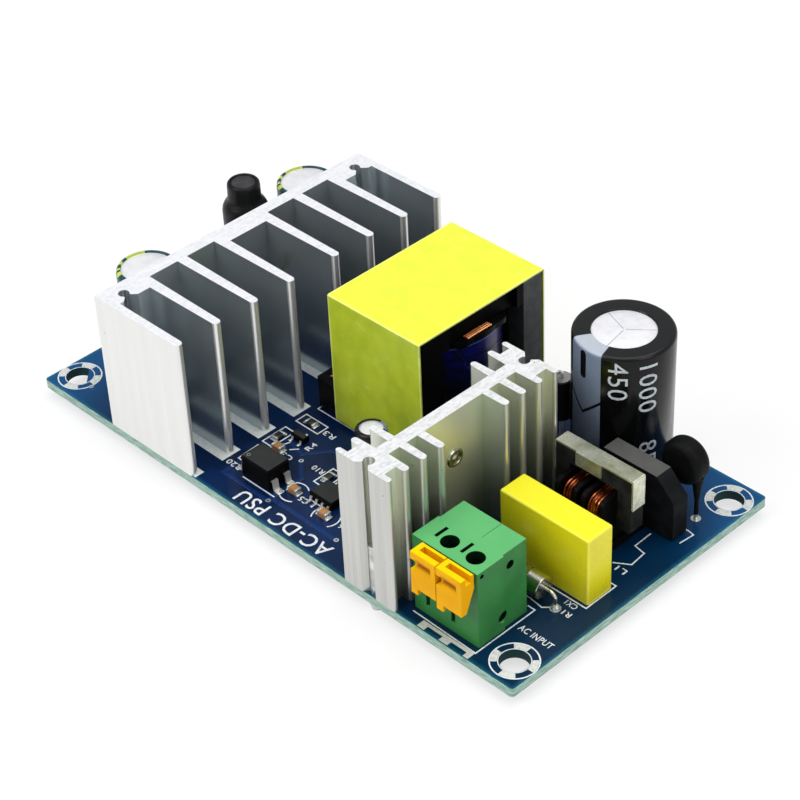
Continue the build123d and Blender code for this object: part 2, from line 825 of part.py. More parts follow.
def filter_flange_xs():
    """The low and high x of each of the bobbin's four flanges, about its middle."""
    end = filter_bobbin_end
    gap = filter_divider_gap / 2
    return [
        (-end, -end + filter_flange),
        (-gap - filter_flange, -gap),
        (gap, gap + filter_flange),
        (end - filter_flange, end),
    ]


def filter_bobbin():
    """A square tube round the lower leg, with end flanges, a split divider and two feet."""
    hole = filter_core_thickness / 2 + 0.1
    wall = hole + filter_bobbin_wall
    end = filter_bobbin_end
    low = top - filter_leg_z
    high = filter_window_top - filter_bobbin_headroom - filter_leg_z
    body = Box(2 * end, 2 * wall, 2 * wall)
    for x0, x1 in filter_flange_xs():
        flange = block(x0, x1, -filter_bobbin_half, filter_bobbin_half, low, high)
        body += fillet(flange.edges().filter_by(Axis.X).sort_by(Axis.Z)[-2:], 1.6)
    for side in (-1, 1):
        foot = block(
            end - filter_flange,
            end + filter_foot_reach,
            -filter_bobbin_half,
            filter_bobbin_half,
            low,
            low + filter_foot_height,
        )
        body += foot if side > 0 else mirror(foot, Plane.YZ)
    body -= Box(2 * end + 1, 2 * hole, 2 * hole)
    body = Pos(filter_x, filter_y, filter_leg_z) * body
    for x, y in filter_pins:
        body -= rod(x, y, 0, top + filter_foot_height, filter_pin_diameter / 2)
    return body


def filter_windings():
    """Two coils of wire, one in each section of the bobbin."""
    inner = 2 * (filter_core_thickness / 2 + 0.1 + filter_bobbin_wall)
    spans = filter_flange_xs()
    coils = []
    for x0, x1 in ((spans[0][1], spans[1][0]), (spans[2][1], spans[3][0])):
        outline = RectangleRounded(2 * filter_coil_radius, 2 * filter_coil_radius, 2.4)
        outline -= Rectangle(inner, inner)
        coil = Pos(x0, 0, 0) * extrude(Plane.YZ * outline, x1 - x0)
        coils.append(Pos(filter_x, filter_y, filter_leg_z) * coil)
    return coils


def filter_pin_set():
    """The four pins pressed into the bobbin's feet."""
    return [rod(x, y, 0, top + filter_foot_height, filter_pin_diameter / 2) for x, y in filter_pins]


def filter_clamp():
    """The spring band over the core, down both ends, with a tab over the middle."""
    half = filter_core_length / 2
    outer = half + clamp_thickness
    low = filter_core_top - clamp_reach
    section = [
        (-outer, low),
        (-outer, filter_core_top + clamp_thickness),
        (outer, filter_core_top + clamp_thickness),
        (outer, low),
        (half, low),
        (half, filter_core_top),
        (-half, filter_core_top),
        (-half, low),
    ]
    thick = filter_core_thickness / 2
    band = prism_y(section, -thick, thick)
    edges = band.edges().filter_by(Axis.Y).sort_by(Axis.Z)[-2:]
    band = fillet(edges, clamp_thickness * 0.9)
    x0 = clamp_tab_offset - clamp_tab_length / 2
    x1 = x0 + clamp_tab_length
    front = -thick - clamp_thickness
    band += block(x0, x1, front, -thick, filter_core_top - clamp_tab_drop, filter_core_top + clamp_thickness)
    return Pos(filter_x, filter_y, 0) * band


def bridge_rectifier():
    """A flat moulded package with one chamfered top corner and four leads."""
    half = bridge_length / 2
    base = top + bridge_lift
    peak = base + bridge_height
    outline = [
        (-half, base),
        (-half, peak),
        (half - bridge_chamfer, peak),
        (half, peak - bridge_chamfer),
        (half, base),
    ]
    body = prism_y(outline, -bridge_thickness / 2, bridge_thickness / 2)
    body = Pos(bridge_x, bridge_y, 0) * fillet(body.edges().filter_by(Axis.Y), 0.25)
    for x, y in bridge_leads:
        wide, thin = bridge_lead_width * 0.45, bridge_lead_thickness / 2
        body += block(x - wide, x + wide, y - thin, y + thin, 0, base + 0.1)
    return body


def thermistor():
    """A coated disc with its coating run down over the tops of both leads."""
    radius, thick = thermistor_radius, thermistor_thickness
    disc = Rot(90, 0, 0) * Cylinder(radius, thick)
    disc = fillet(disc.edges().filter_by(GeomType.CIRCLE), 1.2)
    body = Pos(thermistor_x, thermistor_y, thermistor_axis_z) * disc
    neck_z = thermistor_axis_z - radius - 2.2
    for x, y in thermistor_leads:
        neck = Pos(x, y, neck_z) * Cone(
            0.45, 1.0, radius + 0.4, align=(Align.CENTER, Align.CENTER, Align.MIN)
        )
        body += neck
        body += rod(x, y, 0, neck_z + 0.1, thermistor_lead_diameter / 2)
    return body


def terminal_housing():
    """The moulded block: wire holes, test slots, lever slots with pivot seats, contact chambers."""
    outline = [
        (terminal_x0, terminal_y0),
        (terminal_x1, terminal_y0),
        (terminal_x1, terminal_step_y),
        (terminal_x1 - terminal_step, terminal_step_y),
        (terminal_x1 - terminal_step, terminal_y1),
        (terminal_x0 + terminal_step, terminal_y1),
        (terminal_x0 + terminal_step, terminal_step_y),
        (terminal_x0, terminal_step_y),
    ]
    body = prism_z(make_face(Polyline(*outline, close=True)), top, terminal_top)
    for x in pole_xs:
        body -= lever_slot(x + lever_cam_offset)
        body -= contact_chamber(x)
        hole_x = x + wire_hole_offset
        body -= rod(hole_x, wire_hole_y, contact_chamber_top, terminal_top, wire_hole_diameter / 2)
    for from_front, above_board, diameter, depth in side_holes:
        hole = Rot(0, 90, 0) * Cylinder(diameter / 2, 2 * depth)
        body -= Pos(terminal_x1, terminal_y0 + from_front, top + above_board) * hole
    return body


def lever_slot(x):
    """What a lever's cam plate needs: a slot in the front, a test slot above, a pivot seat with its mouth."""
    half = lever_cam_thickness / 2 + lever_slot_clearance
    slot = block(
        x - half,
        x + half,
        terminal_y0,
        terminal_y0 + lever_slot_depth,
        lever_slot_bottom,
        terminal_top - lever_slot_roof,
    )
    slot += block(
        x - test_slot_width / 2,
        x + test_slot_width / 2,
        test_slot_y - test_slot_length / 2,
        test_slot_y + test_slot_length / 2,
        terminal_top - test_slot_depth,
        terminal_top,
    )
    seat_half = pivot_length / 2 + pivot_clearance
    mouth = block(
        x - seat_half, x + seat_half, terminal_y0, pivot_y, pivot_z - pivot_mouth / 2, pivot_z + pivot_mouth / 2
    )
    return slot + mouth + pivot_bar(x, pivot_clearance)


def contact_chamber(x):
    """The room for one contact, with the hole in the floor for its solder pin."""
    half = contact_chamber_width / 2
    floor = top + contact_chamber_floor
    front = wire_hole_y - wire_hole_diameter / 2 - wire_hole_front_wall
    room = block(x - half, x + half, front, contact_chamber_back_y, floor, contact_chamber_top)
    pin = contact_pin_width / 2 + contact_clearance
    return room + block(x - pin, x + pin, contact_pin_y - pin, contact_pin_y + pin, top, floor + 0.1)


def pivot_bar(x, growth):
    """The round bar that a lever turns on, or with growth the seat cut for it."""
    bar = Cylinder(pivot_radius + growth, pivot_length + 2 * growth)
    return Pos(x, pivot_y, pivot_z) * Rot(0, 90, 0) * bar


def terminal_lever(pole_x):
    """An orange lever: ledge, finger groove and back wall, a hollow skirt, and a cam plate on its pivot."""
    back = terminal_y0 - lever_gap
    front = lever_front_y
    ledge_low = lever_top_z - lever_ledge_height
    groove_z = lever_top_z - lever_groove_depth
    window_low = ledge_low - lever_window_height
    x0 = pole_x - lever_width / 2
    x1 = pole_x + lever_width / 2
    foot_z = lever_bottom_z - lever_tab_drop
    slope = (front + lever_skirt - back) / (lever_heel_z - foot_z)
    profile = [
        (back, lever_top_z),
        (back, lever_heel_z),
        (front + lever_skirt, foot_z),
        (front, foot_z),
        (front, lever_top_z),
    ]
    body = prism_x(profile, x0, x1)
    body = fillet(body.edges().filter_by(Axis.X).group_by(Axis.Z)[-1], 0.2)
    groove_front = front + lever_ledge_depth
    groove_back = back - lever_back_wall
    body -= block(x0 + lever_end_wall, x1 + 1, groove_front, groove_back, groove_z, lever_top_z + 1)
    hollow = [
        (back + 1, groove_z - 1.0),
        (groove_front, groove_z - 1.0),
        (front + lever_skirt, window_low - 0.2),
        (front + lever_skirt, foot_z - 1),
        (back + 1, foot_z - 1),
    ]
    body -= prism_x(hollow, x0 + lever_side_wall, x1 - lever_side_wall)
    window = [
        (front - 1, ledge_low),
        (front + lever_window_depth, ledge_low),
        (front, window_low),
        (front - 1, window_low),
    ]
    body -= prism_x(window, x0 - 1, x1 - lever_end_wall)
    body -= block(x0 - 1, x0 + lever_end_wall, front - 1, groove_front, window_low, ledge_low)
    body -= block(x0 + lever_tab_width, x1 + 1, front - 1, back, foot_z - 1, lever_bottom_z)
    cam_x = pole_x + lever_cam_offset
    nose_y = terminal_y0 + lever_cam_nose_reach
    cam_low_y = back + slope * (lever_heel_z - lever_cam_nose_z) - 0.1
    cam = [
        (back - lever_back_wall, pivot_z + lever_cam_top),
        (pivot_y, pivot_z + lever_cam_top),
        (pivot_y + lever_cam_top, pivot_z),
        (nose_y, pivot_z - 1.6),
        (nose_y, lever_cam_nose_z),
        (cam_low_y, lever_cam_nose_z),
        (back - lever_back_wall, lever_heel_z),
    ]
    body += prism_x(cam, cam_x - lever_cam_thickness / 2, cam_x + lever_cam_thickness / 2)
    return body + pivot_bar(cam_x, 0)


def terminal_contact(x):
    """A bent strip in its chamber: foot, back bar and a spring leaf under the wire hole, with a pin."""
    low = top + contact_chamber_floor
    high = contact_chamber_top - contact_headroom
    back = contact_chamber_back_y - contact_clearance
    front = wire_hole_y - 1.0
    thin = contact_thickness
    section = [
        (front, low),
        (back, low),
        (back, high),
        (front + 1.4, high),
        (front + 1.0, high - 2.2),
        (front + 1.0 + thin, high - 2.2 - 0.1),
        (front + 1.4 + thin, high - thin),
        (back - thin, high - thin),
        (back - thin, low + thin),
        (front, low + thin),
    ]
    strip = prism_x(section, x - contact_width / 2, x + contact_width / 2)
    half = contact_pin_width / 2
    pin = block(x - half, x + half, contact_pin_y - half * 0.7, contact_pin_y + half * 0.7, 0, low)
    return strip + pin


def output_header():
    """A two-pin header: a base, a latch wall with its lip and a keying rib."""
    half_x, half_y = header_depth / 2, header_length / 2
    section = [
        (half_x, 0),
        (half_x, header_base),
        (-half_x + header_wall, header_base),
        (-half_x + header_wall, header_wall_height - 1.2),
        (-half_x + header_wall + 0.5, header_wall_height - 0.8),
        (-half_x + header_wall, header_wall_height),
        (-half_x, header_wall_height),
        (-half_x, 0),
    ]
    body = prism_y(section, -half_y, half_y)
    for y in (-header_pin_pitch / 2, header_pin_pitch / 2):
        body -= Pos(half_x, y, header_base) * Box(1.6, 1.4, 2 * (header_base - 1.0))
    body = Pos(header_x, header_y, top) * body
    half = header_pin / 2
    for x, y in header_pins:
        body -= block(x - half, x + half, y - half, y + half, 0, top + header_base)
    return body


def output_header_pins():
    """Square pins with pointed ends, pressed through the header's base."""
    pins = []
    for x, y in header_pins:
        half = header_pin / 2
        pin = block(x - half, x + half, y - half, y + half, 0, top + header_pin_height)
        pins.append(chamfer(pin.faces().sort_by(Axis.Z)[-1].edges(), 0.3))
    return pins


def optocoupler():
    """A four-pin moulded package on gull-wing leads, two at each end."""
    base = top + opto_lift
    body = Pos(0, 0, base) * Box(
        opto_length, opto_width, opto_height, align=(Align.CENTER, Align.CENTER, Align.MIN)
    )
    body = chamfer(body.faces().sort_by(Axis.Z)[-1].edges() + body.edges().filter_by(Axis.Z), 0.25)
    half = opto_length / 2
    thin = lead_frame_thickness
    shoulder = base + opto_height * 0.45
    foot = top + solder_film
    lead = [
        (half - 0.3, shoulder),
        (half + 0.45, shoulder),
        (half + 0.65, foot + thin),
        (half + opto_pin_reach, foot + thin),
        (half + opto_pin_reach, foot),
        (half + 0.45, foot),
        (half + 0.25, shoulder - thin),
        (half - 0.3, shoulder - thin),
    ]
    for y in (-opto_pin_pitch / 2, opto_pin_pitch / 2):
        pin = prism_y(lead, y - opto_pin_width / 2, y + opto_pin_width / 2)
        body += pin
        body += mirror(pin, Plane.YZ)
    return Pos(opto_x, opto_y, 0) * body


def gull_package(length, width, height, pin_xs, pin_width, reach):
    """A small moulded package with gull-wing leads along its two long sides."""
    base = top + solder_film
    body = Pos(0, 0, base) * Box(length, width, height, align=(Align.CENTER, Align.CENTER, Align.MIN))
    body = chamfer(body.faces().sort_by(Axis.Z)[-1].edges(), 0.15)
    half = width / 2
    thin = 0.2
    shoulder = base + height * 0.5
    foot = top + 0.02
    lead = [
        (half - 0.2, shoulder),
        (half + 0.3 * reach, shoulder),
        (half + 0.5 * reach, foot + thin),
        (half + reach, foot + thin),
        (half + reach, foot),
        (half + 0.35 * reach, foot),
        (half + 0.15 * reach, shoulder - thin),
        (half - 0.2, shoulder - thin),
    ]
    for side, xs in pin_xs:
        for x in xs:
            pin = prism_x(lead, x - pin_width / 2, x + pin_width / 2)
            body += pin if side > 0 else mirror(pin, Plane.XZ)
    return body


def controller_chip():
    """The eight-pin controller."""
    xs = [(n - 1.5) * controller_pin_pitch for n in range(4)]
    package = gull_package(
        controller_length, controller_width, controller_height, [(-1, xs), (1, xs)], 0.42, 1.0
    )
    return Pos(controller_x, controller_y, 0) * package


def shunt_regulator():
    """The three-pin regulator of the feedback loop."""
    package = gull_package(2.9, 1.3, 1.0, [(-1, [-0.95, 0.95]), (1, [0])], 0.42, 0.55)
    return Pos(regulator_x, regulator_y, 0) * package


def chip_part(height):
    """A chip part with its two end caps a little proud."""
    base = top + solder_film
    align = (Align.CENTER, Align.CENTER, Align.MIN)
    body = Pos(0, 0, base + 0.02) * Box(chip_length - 0.1, chip_width, height, align=align)
    for side in (-1, 1):
        x = side * (chip_length - chip_end) / 2
        body += Pos(x, 0, base) * Box(chip_end, chip_width + 0.06, height + 0.05, align=align)
    return body


def chip_parts(places, height):
    """Chip parts at their places, each turned about Z. A place's second number is from the front edge."""
    return [Pos(x, front_edge + inset, 0) * Rot(0, 0, turn) * chip_part(height) for x, inset, turn in places]


def snubber_diode():
    """A diode standing on end, its upper lead bent over and down beside it."""
    low = top + diode_lift
    high = low + diode_length
    case = Pos(diode_x, diode_y, (low + high) / 2) * Cylinder(diode_radius, diode_length)
    case = fillet(case.edges().filter_by(GeomType.CIRCLE), 0.35)
    peak = high + diode_lead_rise
    path = FilletPolyline(
        (diode_x, diode_y, high - 0.2),
        (diode_x, diode_y, peak),
        (diode_x, diode_y - diode_lead_pitch, peak),
        (diode_x, diode_y - diode_lead_pitch, 0),
        radius=0.9,
    )
    lead = sweep(Plane(path @ 0, z_dir=path % 0) * Circle(diode_lead_diameter / 2), path)
    return case + lead + rod(diode_x, diode_y, 0, low + 0.2, diode_lead_diameter / 2)


NODES = {
    "circuit_board": circuit_board,
    "solder_joints": solder_joints,
    "output_heatsink": output_heatsink,
    "output_heatsink_pins": lambda: sink_pins(sink_pins_output),
    "primary_heatsink": primary_heatsink,
    "primary_heatsink_pins": lambda: sink_pins(sink_pins_primary),
    "switching_transistor": switching_transistor,
    "output_rectifier": output_rectifier,
    "clamp_screws": clamp_screws,
    "transformer_upper_core": lambda: transformer_core_half(True),
    "transformer_lower_core": lambda: transformer_core_half(False),
    "transformer_bobbin": transformer_bobbin,
    "transformer_pins": transformer_pin_set,
    "transformer_winding": transformer_winding,
    "transformer_tape": transformer_tape,
    "bulk_capacitor": lambda: can_capacitor(bulk_x, bulk_y, bulk_can_radius, bulk_can_height, bulk_leads),
    "output_capacitor_1": lambda: can_capacitor(
        output_can_x, output_can_y[0], output_can_radius, output_can_height, output_can_leads[0]
    ),
    "output_capacitor_2": lambda: can_capacitor(
        output_can_x, output_can_y[1], output_can_radius, output_can_height, output_can_leads[1]
    ),
    "bias_capacitor": lambda: can_capacitor(
        small_can_x, small_can_y, small_can_radius, small_can_height, small_can_leads
    ),
    "output_choke": output_choke,
    "interference_capacitor": interference_capacitor,
    "fuse_tube": fuse_tube,
    "fuse_caps": lambda: [fuse_cap(-1), fuse_cap(1)],
    "fuse_wire": fuse_wire,
    "filter_core_left": lambda: filter_core_half(-1),
    "filter_core_right": lambda: filter_core_half(1),
    "filter_bobbin": filter_bobbin,
    "filter_windings": filter_windings,
    "filter_pins": filter_pin_set,
    "filter_clamp": filter_clamp,
    "bridge_rectifier": bridge_rectifier,
    "thermistor": thermistor,
    "terminal_housing": terminal_housing,
    "terminal_lever_1": lambda: terminal_lever(pole_xs[0]),
    "terminal_lever_2": lambda: terminal_lever(pole_xs[1]),
    "terminal_contacts": lambda: [terminal_contact(x) for x in pole_xs],
    "output_header": output_header,
    "output_header_pins": output_header_pins,
    "snubber_diode": snubber_diode,
    "optocoupler": optocoupler,
    "controller_chip": controller_chip,
    "shunt_regulator": shunt_regulator,
    "chip_resistors": lambda: chip_parts(chip_resistor_places, chip_resistor_height),
    "chip_capacitors": lambda: chip_parts(chip_capacitor_places, chip_capacitor_height),
}

os.makedirs("parts", exist_ok=True)
for name, make in NODES.items():
    made = make()
    solids = [solid for item in made for solid in item.solids()] if isinstance(made, list) else made.solids()
    shape = solids[0] if len(solids) == 1 else Compound(children=list(solids))
    export_step(shape, f"parts/{name}.step")
    print(name, len(solids), round(sum(solid.volume for solid in solids), 1))
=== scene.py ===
"""Looks of an open-frame power supply: finishes, print, wires, sleeves and solder."""

import logging
import math
import random
from dataclasses import dataclass
from enum import Enum
from typing import Callable, Union

import bmesh
import bpy
from mathutils import Euler, Matrix, Vector

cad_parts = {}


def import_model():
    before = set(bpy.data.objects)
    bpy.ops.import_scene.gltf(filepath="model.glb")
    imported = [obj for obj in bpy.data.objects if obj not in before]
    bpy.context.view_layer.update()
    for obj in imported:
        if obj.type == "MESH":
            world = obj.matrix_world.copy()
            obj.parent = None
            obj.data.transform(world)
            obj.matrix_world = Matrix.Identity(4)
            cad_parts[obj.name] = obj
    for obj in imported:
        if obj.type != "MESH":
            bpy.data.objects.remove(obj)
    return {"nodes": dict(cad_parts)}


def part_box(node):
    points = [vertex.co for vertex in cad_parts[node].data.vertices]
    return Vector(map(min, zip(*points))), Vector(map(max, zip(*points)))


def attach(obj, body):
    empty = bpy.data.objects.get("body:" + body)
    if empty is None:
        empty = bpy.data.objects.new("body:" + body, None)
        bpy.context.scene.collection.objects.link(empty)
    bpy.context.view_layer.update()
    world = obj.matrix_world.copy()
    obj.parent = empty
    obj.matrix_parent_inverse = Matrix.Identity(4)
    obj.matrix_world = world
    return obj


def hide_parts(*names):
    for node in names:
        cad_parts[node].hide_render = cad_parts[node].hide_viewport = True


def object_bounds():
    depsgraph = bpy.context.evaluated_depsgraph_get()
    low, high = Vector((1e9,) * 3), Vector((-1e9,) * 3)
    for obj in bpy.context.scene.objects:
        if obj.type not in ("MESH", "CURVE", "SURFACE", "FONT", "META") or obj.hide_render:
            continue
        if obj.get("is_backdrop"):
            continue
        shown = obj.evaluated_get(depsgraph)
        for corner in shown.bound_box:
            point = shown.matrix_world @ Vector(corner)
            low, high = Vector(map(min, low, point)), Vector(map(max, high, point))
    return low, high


MM = 0.001
BOARD_TOP = 1.6
INK_DEPTH = 0.03
INK_TOP = BOARD_TOP + INK_DEPTH
MERGE_REACH = 1e-4
RUN_LIFT = 0.004
CAPITAL_SHARE = 0.69
SEED = 11

Levels = tuple[int, int, int]
Colour = tuple[float, float, float, float]
Point = tuple[float, float, float]
Spot = tuple[float, float]
Block = tuple[Point, Point]
Socket = bpy.types.NodeSocket
Tone = Union[Socket, Levels]
Amount = Union["Field", float]

log = logging.getLogger("scene")


def linear(levels: Levels) -> Colour:
    """Turns screen levels from 0 to 255 into the linear colour that a shader reads.

    Args:
        levels: red, green and blue.

    Returns:
        The colour with full cover.
    """
    parts = (level / 255 for level in levels)
    red, green, blue = (v / 12.92 if v <= 0.04045 else ((v + 0.055) / 1.055) ** 2.4 for v in parts)
    return (red, green, blue, 1.0)


def show(name: str, data: bpy.types.ID) -> bpy.types.Object:
    """Puts data into the scene.

    Args:
        name: the object's name.
        data: its mesh, lamp or camera.

    Returns:
        The object that holds it.
    """
    made = bpy.data.objects.new(name, data)
    bpy.context.scene.collection.objects.link(made)
    return made


class Slot(str, Enum):
    """The material slots of the part's record, named by the new pieces."""

    PRINT = "header_white"
    BOARD = "board_blue"
    SOLDER = "solder"
    TINNED = "tinned_steel"
    SLEEVE_BLACK = "sleeve_black"
    SLEEVE_TEAL = "sleeve_teal"
    SHRINK = "shrink_sleeve_black"
    COPPER = "copper_wire"
    CHIP_BLACK = "chip_black"
    CHIP_TAN = "chip_tan"


# ---------------------------------------------------------------- shader maths


def sign(operation: str, reflected: bool = False) -> Callable[["Field", Amount], "Field"]:
    """Makes the method for one sign between a field and another field or number.

    Args:
        operation: what the maths node does.
        reflected: whether the method's own field comes second.

    Returns:
        The method.
    """

    def apply(self: "Field", other: Amount) -> "Field":
        """Returns what the sign makes of the two."""
        return self.shader.maths(operation, *((other, self) if reflected else (self, other)))

    return apply


class Field:
    """A number that flows between shader nodes and is worked with through ordinary signs."""

    def __init__(self, shader: "Shader", socket: Socket) -> None:
        """Wraps one output socket of a shader's node."""
        self.shader, self.socket = shader, socket

    __add__, __radd__ = sign("ADD"), sign("ADD", reflected=True)
    __sub__, __rsub__ = sign("SUBTRACT"), sign("SUBTRACT", reflected=True)
    __mul__, __rmul__ = sign("MULTIPLY"), sign("MULTIPLY", reflected=True)
    __truediv__, __rtruediv__ = sign("DIVIDE"), sign("DIVIDE", reflected=True)
    most, least, angle_from = sign("MAXIMUM"), sign("MINIMUM"), sign("ARCTAN2")

    def alone(self, operation: str) -> "Field":
        """Returns the named operation on this field alone."""
        return self.shader.maths(operation, self)

    def __abs__(self) -> "Field":
        """Returns the size without its sign."""
        return self.alone("ABSOLUTE")

    def ease(self, low: float, high: float) -> "Field":
        """Rises smoothly from 0 to 1, or falls where low is above high.

        Args:
            low: the value that gives 0.
            high: the value that gives 1.

        Returns:
            The eased field.
        """
        flip = low > high
        rise = self.shader.node(
            "ShaderNodeMapRange",
            {"interpolation_type": "SMOOTHSTEP"},
            {0: self, 1: min(low, high), 2: max(low, high), 3: float(flip), 4: float(not flip)},
        )
        return Field(self.shader, rise.outputs[0])


class Nodes:
    """A node tree under construction."""

    def __init__(self, tree: bpy.types.NodeTree) -> None:
        """Keeps the tree."""
        self.tree = tree

    def feed(self, socket: Socket, value: "Amount | Socket | Colour | Point") -> None:
        """Links a field or socket to the socket, or sets it to a plain value.

        Args:
            socket: the input to fill.
            value: what it is filled with.
        """
        value = value.socket if isinstance(value, Field) else value
        if isinstance(value, Socket):
            self.tree.links.new(value, socket)
        else:
            socket.default_value = value

    def node(
        self, kind: str, settings: dict | None = None, inputs: dict | None = None
    ) -> bpy.types.Node:
        """Adds one node.

        Args:
            kind: the node's type.
            settings: properties, which are set first.
            inputs: a value or link for each socket, by name or number.

        Returns:
            The node.
        """
        made = self.tree.nodes.new(kind)
        for key, value in (settings or {}).items():
            setattr(made, key, value)
        for key, value in (inputs or {}).items():
            self.feed(made.inputs[key], value)
        return made


class Shader(Nodes):
    """A material whose places are read in millimetres from the object's own coordinates."""

    def __init__(self, name: str) -> None:
        """Starts an empty material.

        Args:
            name: the material's name.
        """
        self.material = bpy.data.materials.new(name)
        self.material.use_nodes = True
        super().__init__(self.material.node_tree)
        self.surface = self.tree.nodes["Principled BSDF"]
        self.source = self.node("ShaderNodeTexCoord")

    def maths(self, operation: str, *operands: Amount) -> Field:
        """Returns the result of a maths node."""
        made = self.node("ShaderNodeMath", {"operation": operation}, dict(enumerate(operands)))
        return Field(self, made.outputs[0])

    def split(self, vector: Socket) -> tuple[Field, Field, Field]:
        """Returns the three parts of a vector."""
        parts = self.node("ShaderNodeSeparateXYZ", None, {0: vector}).outputs
        return Field(self, parts[0]), Field(self, parts[1]), Field(self, parts[2])

    def place(self, stretch: Point = (1, 1, 1)) -> Socket:
        """Reads the place on the object in millimetres.

        Args:
            stretch: the factor of each axis.

        Returns:
            The place, each axis times its stretch.
        """
        factors = tuple(part / MM for part in stretch)
        inputs = {0: self.source.outputs["Object"], 1: factors}
        return self.node("ShaderNodeVectorMath", {"operation": "MULTIPLY"}, inputs).outputs[0]

    def axes(self) -> tuple[Field, Field, Field]:
        """Returns x, y and z in millimetres."""
        return self.split(self.place())

    def facing(self) -> Field:
        """Returns how far the surface faces up, from -1 to 1."""
        return self.split(self.source.outputs["Normal"])[2]

    def noise(self, size: float, stretch: Point = (1, 1, 1), detail: float = 2.0) -> Field:
        """Makes cloudy noise.

        Args:
            size: the width of one cloud in millimetres.
            stretch: how much finer the noise is along each axis.
            detail: how many finer layers lie in it.

        Returns:
            The noise, around 0.5.
        """
        inputs = {"Vector": self.place(stretch), "Scale": 1 / size, "Detail": detail}
        return Field(self, self.node("ShaderNodeTexNoise", None, inputs).outputs[0])

    def cells(self, size: float) -> Field:
        """Returns the distance to the nearest of many scattered points, in cells of that size."""
        inputs = {"Vector": self.place(), "Scale": 1 / size}
        return Field(self, self.node("ShaderNodeTexVoronoi", None, inputs).outputs["Distance"])

    def blend(self, factor: Amount, first: Tone, second: Tone) -> Socket:
        """Mixes two colours.

        Args:
            factor: the share of the second colour, from 0 to 1.
            first: levels or a colour socket.
            second: levels or a colour socket.

        Returns:
            The mixed colour.
        """
        low, high = (linear(tone) if isinstance(tone, tuple) else tone for tone in (first, second))
        inputs = {0: factor, 6: low, 7: high}
        return self.node("ShaderNodeMix", {"data_type": "RGBA"}, inputs).outputs[2]

    def inside(self, low: Point, high: Point, soft: float) -> Field:
        """Tells the inside of a box from its outside.

        Args:
            low: the lowest corner in millimetres.
            high: the highest corner.
            soft: how wide the change is on each side of the box.

        Returns:
            1 inside and 0 outside.
        """
        result = None
        for field, a, b in zip(self.axes(), low, high):
            reach = abs(field - (a + b) / 2) - (b - a) / 2
            result = reach if result is None else result.most(reach)
        return result.ease(soft, -soft)

    def inside_any(self, blocks: tuple[Block, ...], soft: float = 0.02) -> Field:
        """Tells the inside of several boxes from the rest.

        Args:
            blocks: the boxes, as pairs of corners.
            soft: how wide the change is on each side of a box.

        Returns:
            1 inside any of the boxes and 0 elsewhere.
        """
        result = self.inside(*blocks[0], soft)
        for low, high in blocks[1:]:
            result = result.most(self.inside(low, high, soft))
        return result

    def edge_of(self, block: Block, reach: float = 0.42) -> Field:
        """Finds the edges on the surface of a block.

        Args:
            block: the block's two corners.
            reach: how far the edges reach inward.

        Returns:
            1 along the edges, fading to 0 at the reach.
        """
        x, y, z = (
            (b - a) / 2 - abs(axis - (a + b) / 2) for axis, a, b in zip(self.axes(), *block)
        )
        second = x.least(y).most(x.most(y).least(z))
        return second.ease(reach, reach * 0.15)

    def wear(self, height: Field, depth: float) -> None:
        """Makes the surface uneven by a height field times a depth in millimetres.

        Args:
            height: the height field.
            depth: what a height of 1 stands for.
        """
        inputs = {"Strength": 1.0, "Distance": depth * MM, "Height": height}
        bump = self.node("ShaderNodeBump", None, inputs)
        self.feed(self.surface.inputs["Normal"], bump.outputs[0])

    def set(self, **values: "Amount | Socket | Colour") -> None:
        """Sets sockets of the surface, their names written with _ for a space."""
        for key, value in values.items():
            self.feed(self.surface.inputs[key.replace("_", " ")], value)


# ------------------------------------------------------------------- finishes


class Finish:
    """A look that can be laid on any piece."""

    def build(self, name: str) -> bpy.types.Material:
        """Builds the finish.

        Args:
            name: the material's name.

        Returns:
            The material.
        """
        shader = Shader(name)
        self.paint(shader)
        return shader.material

    def paint(self, shader: Shader) -> None:
        """Lays the finish on the shader's surface."""
        raise NotImplementedError


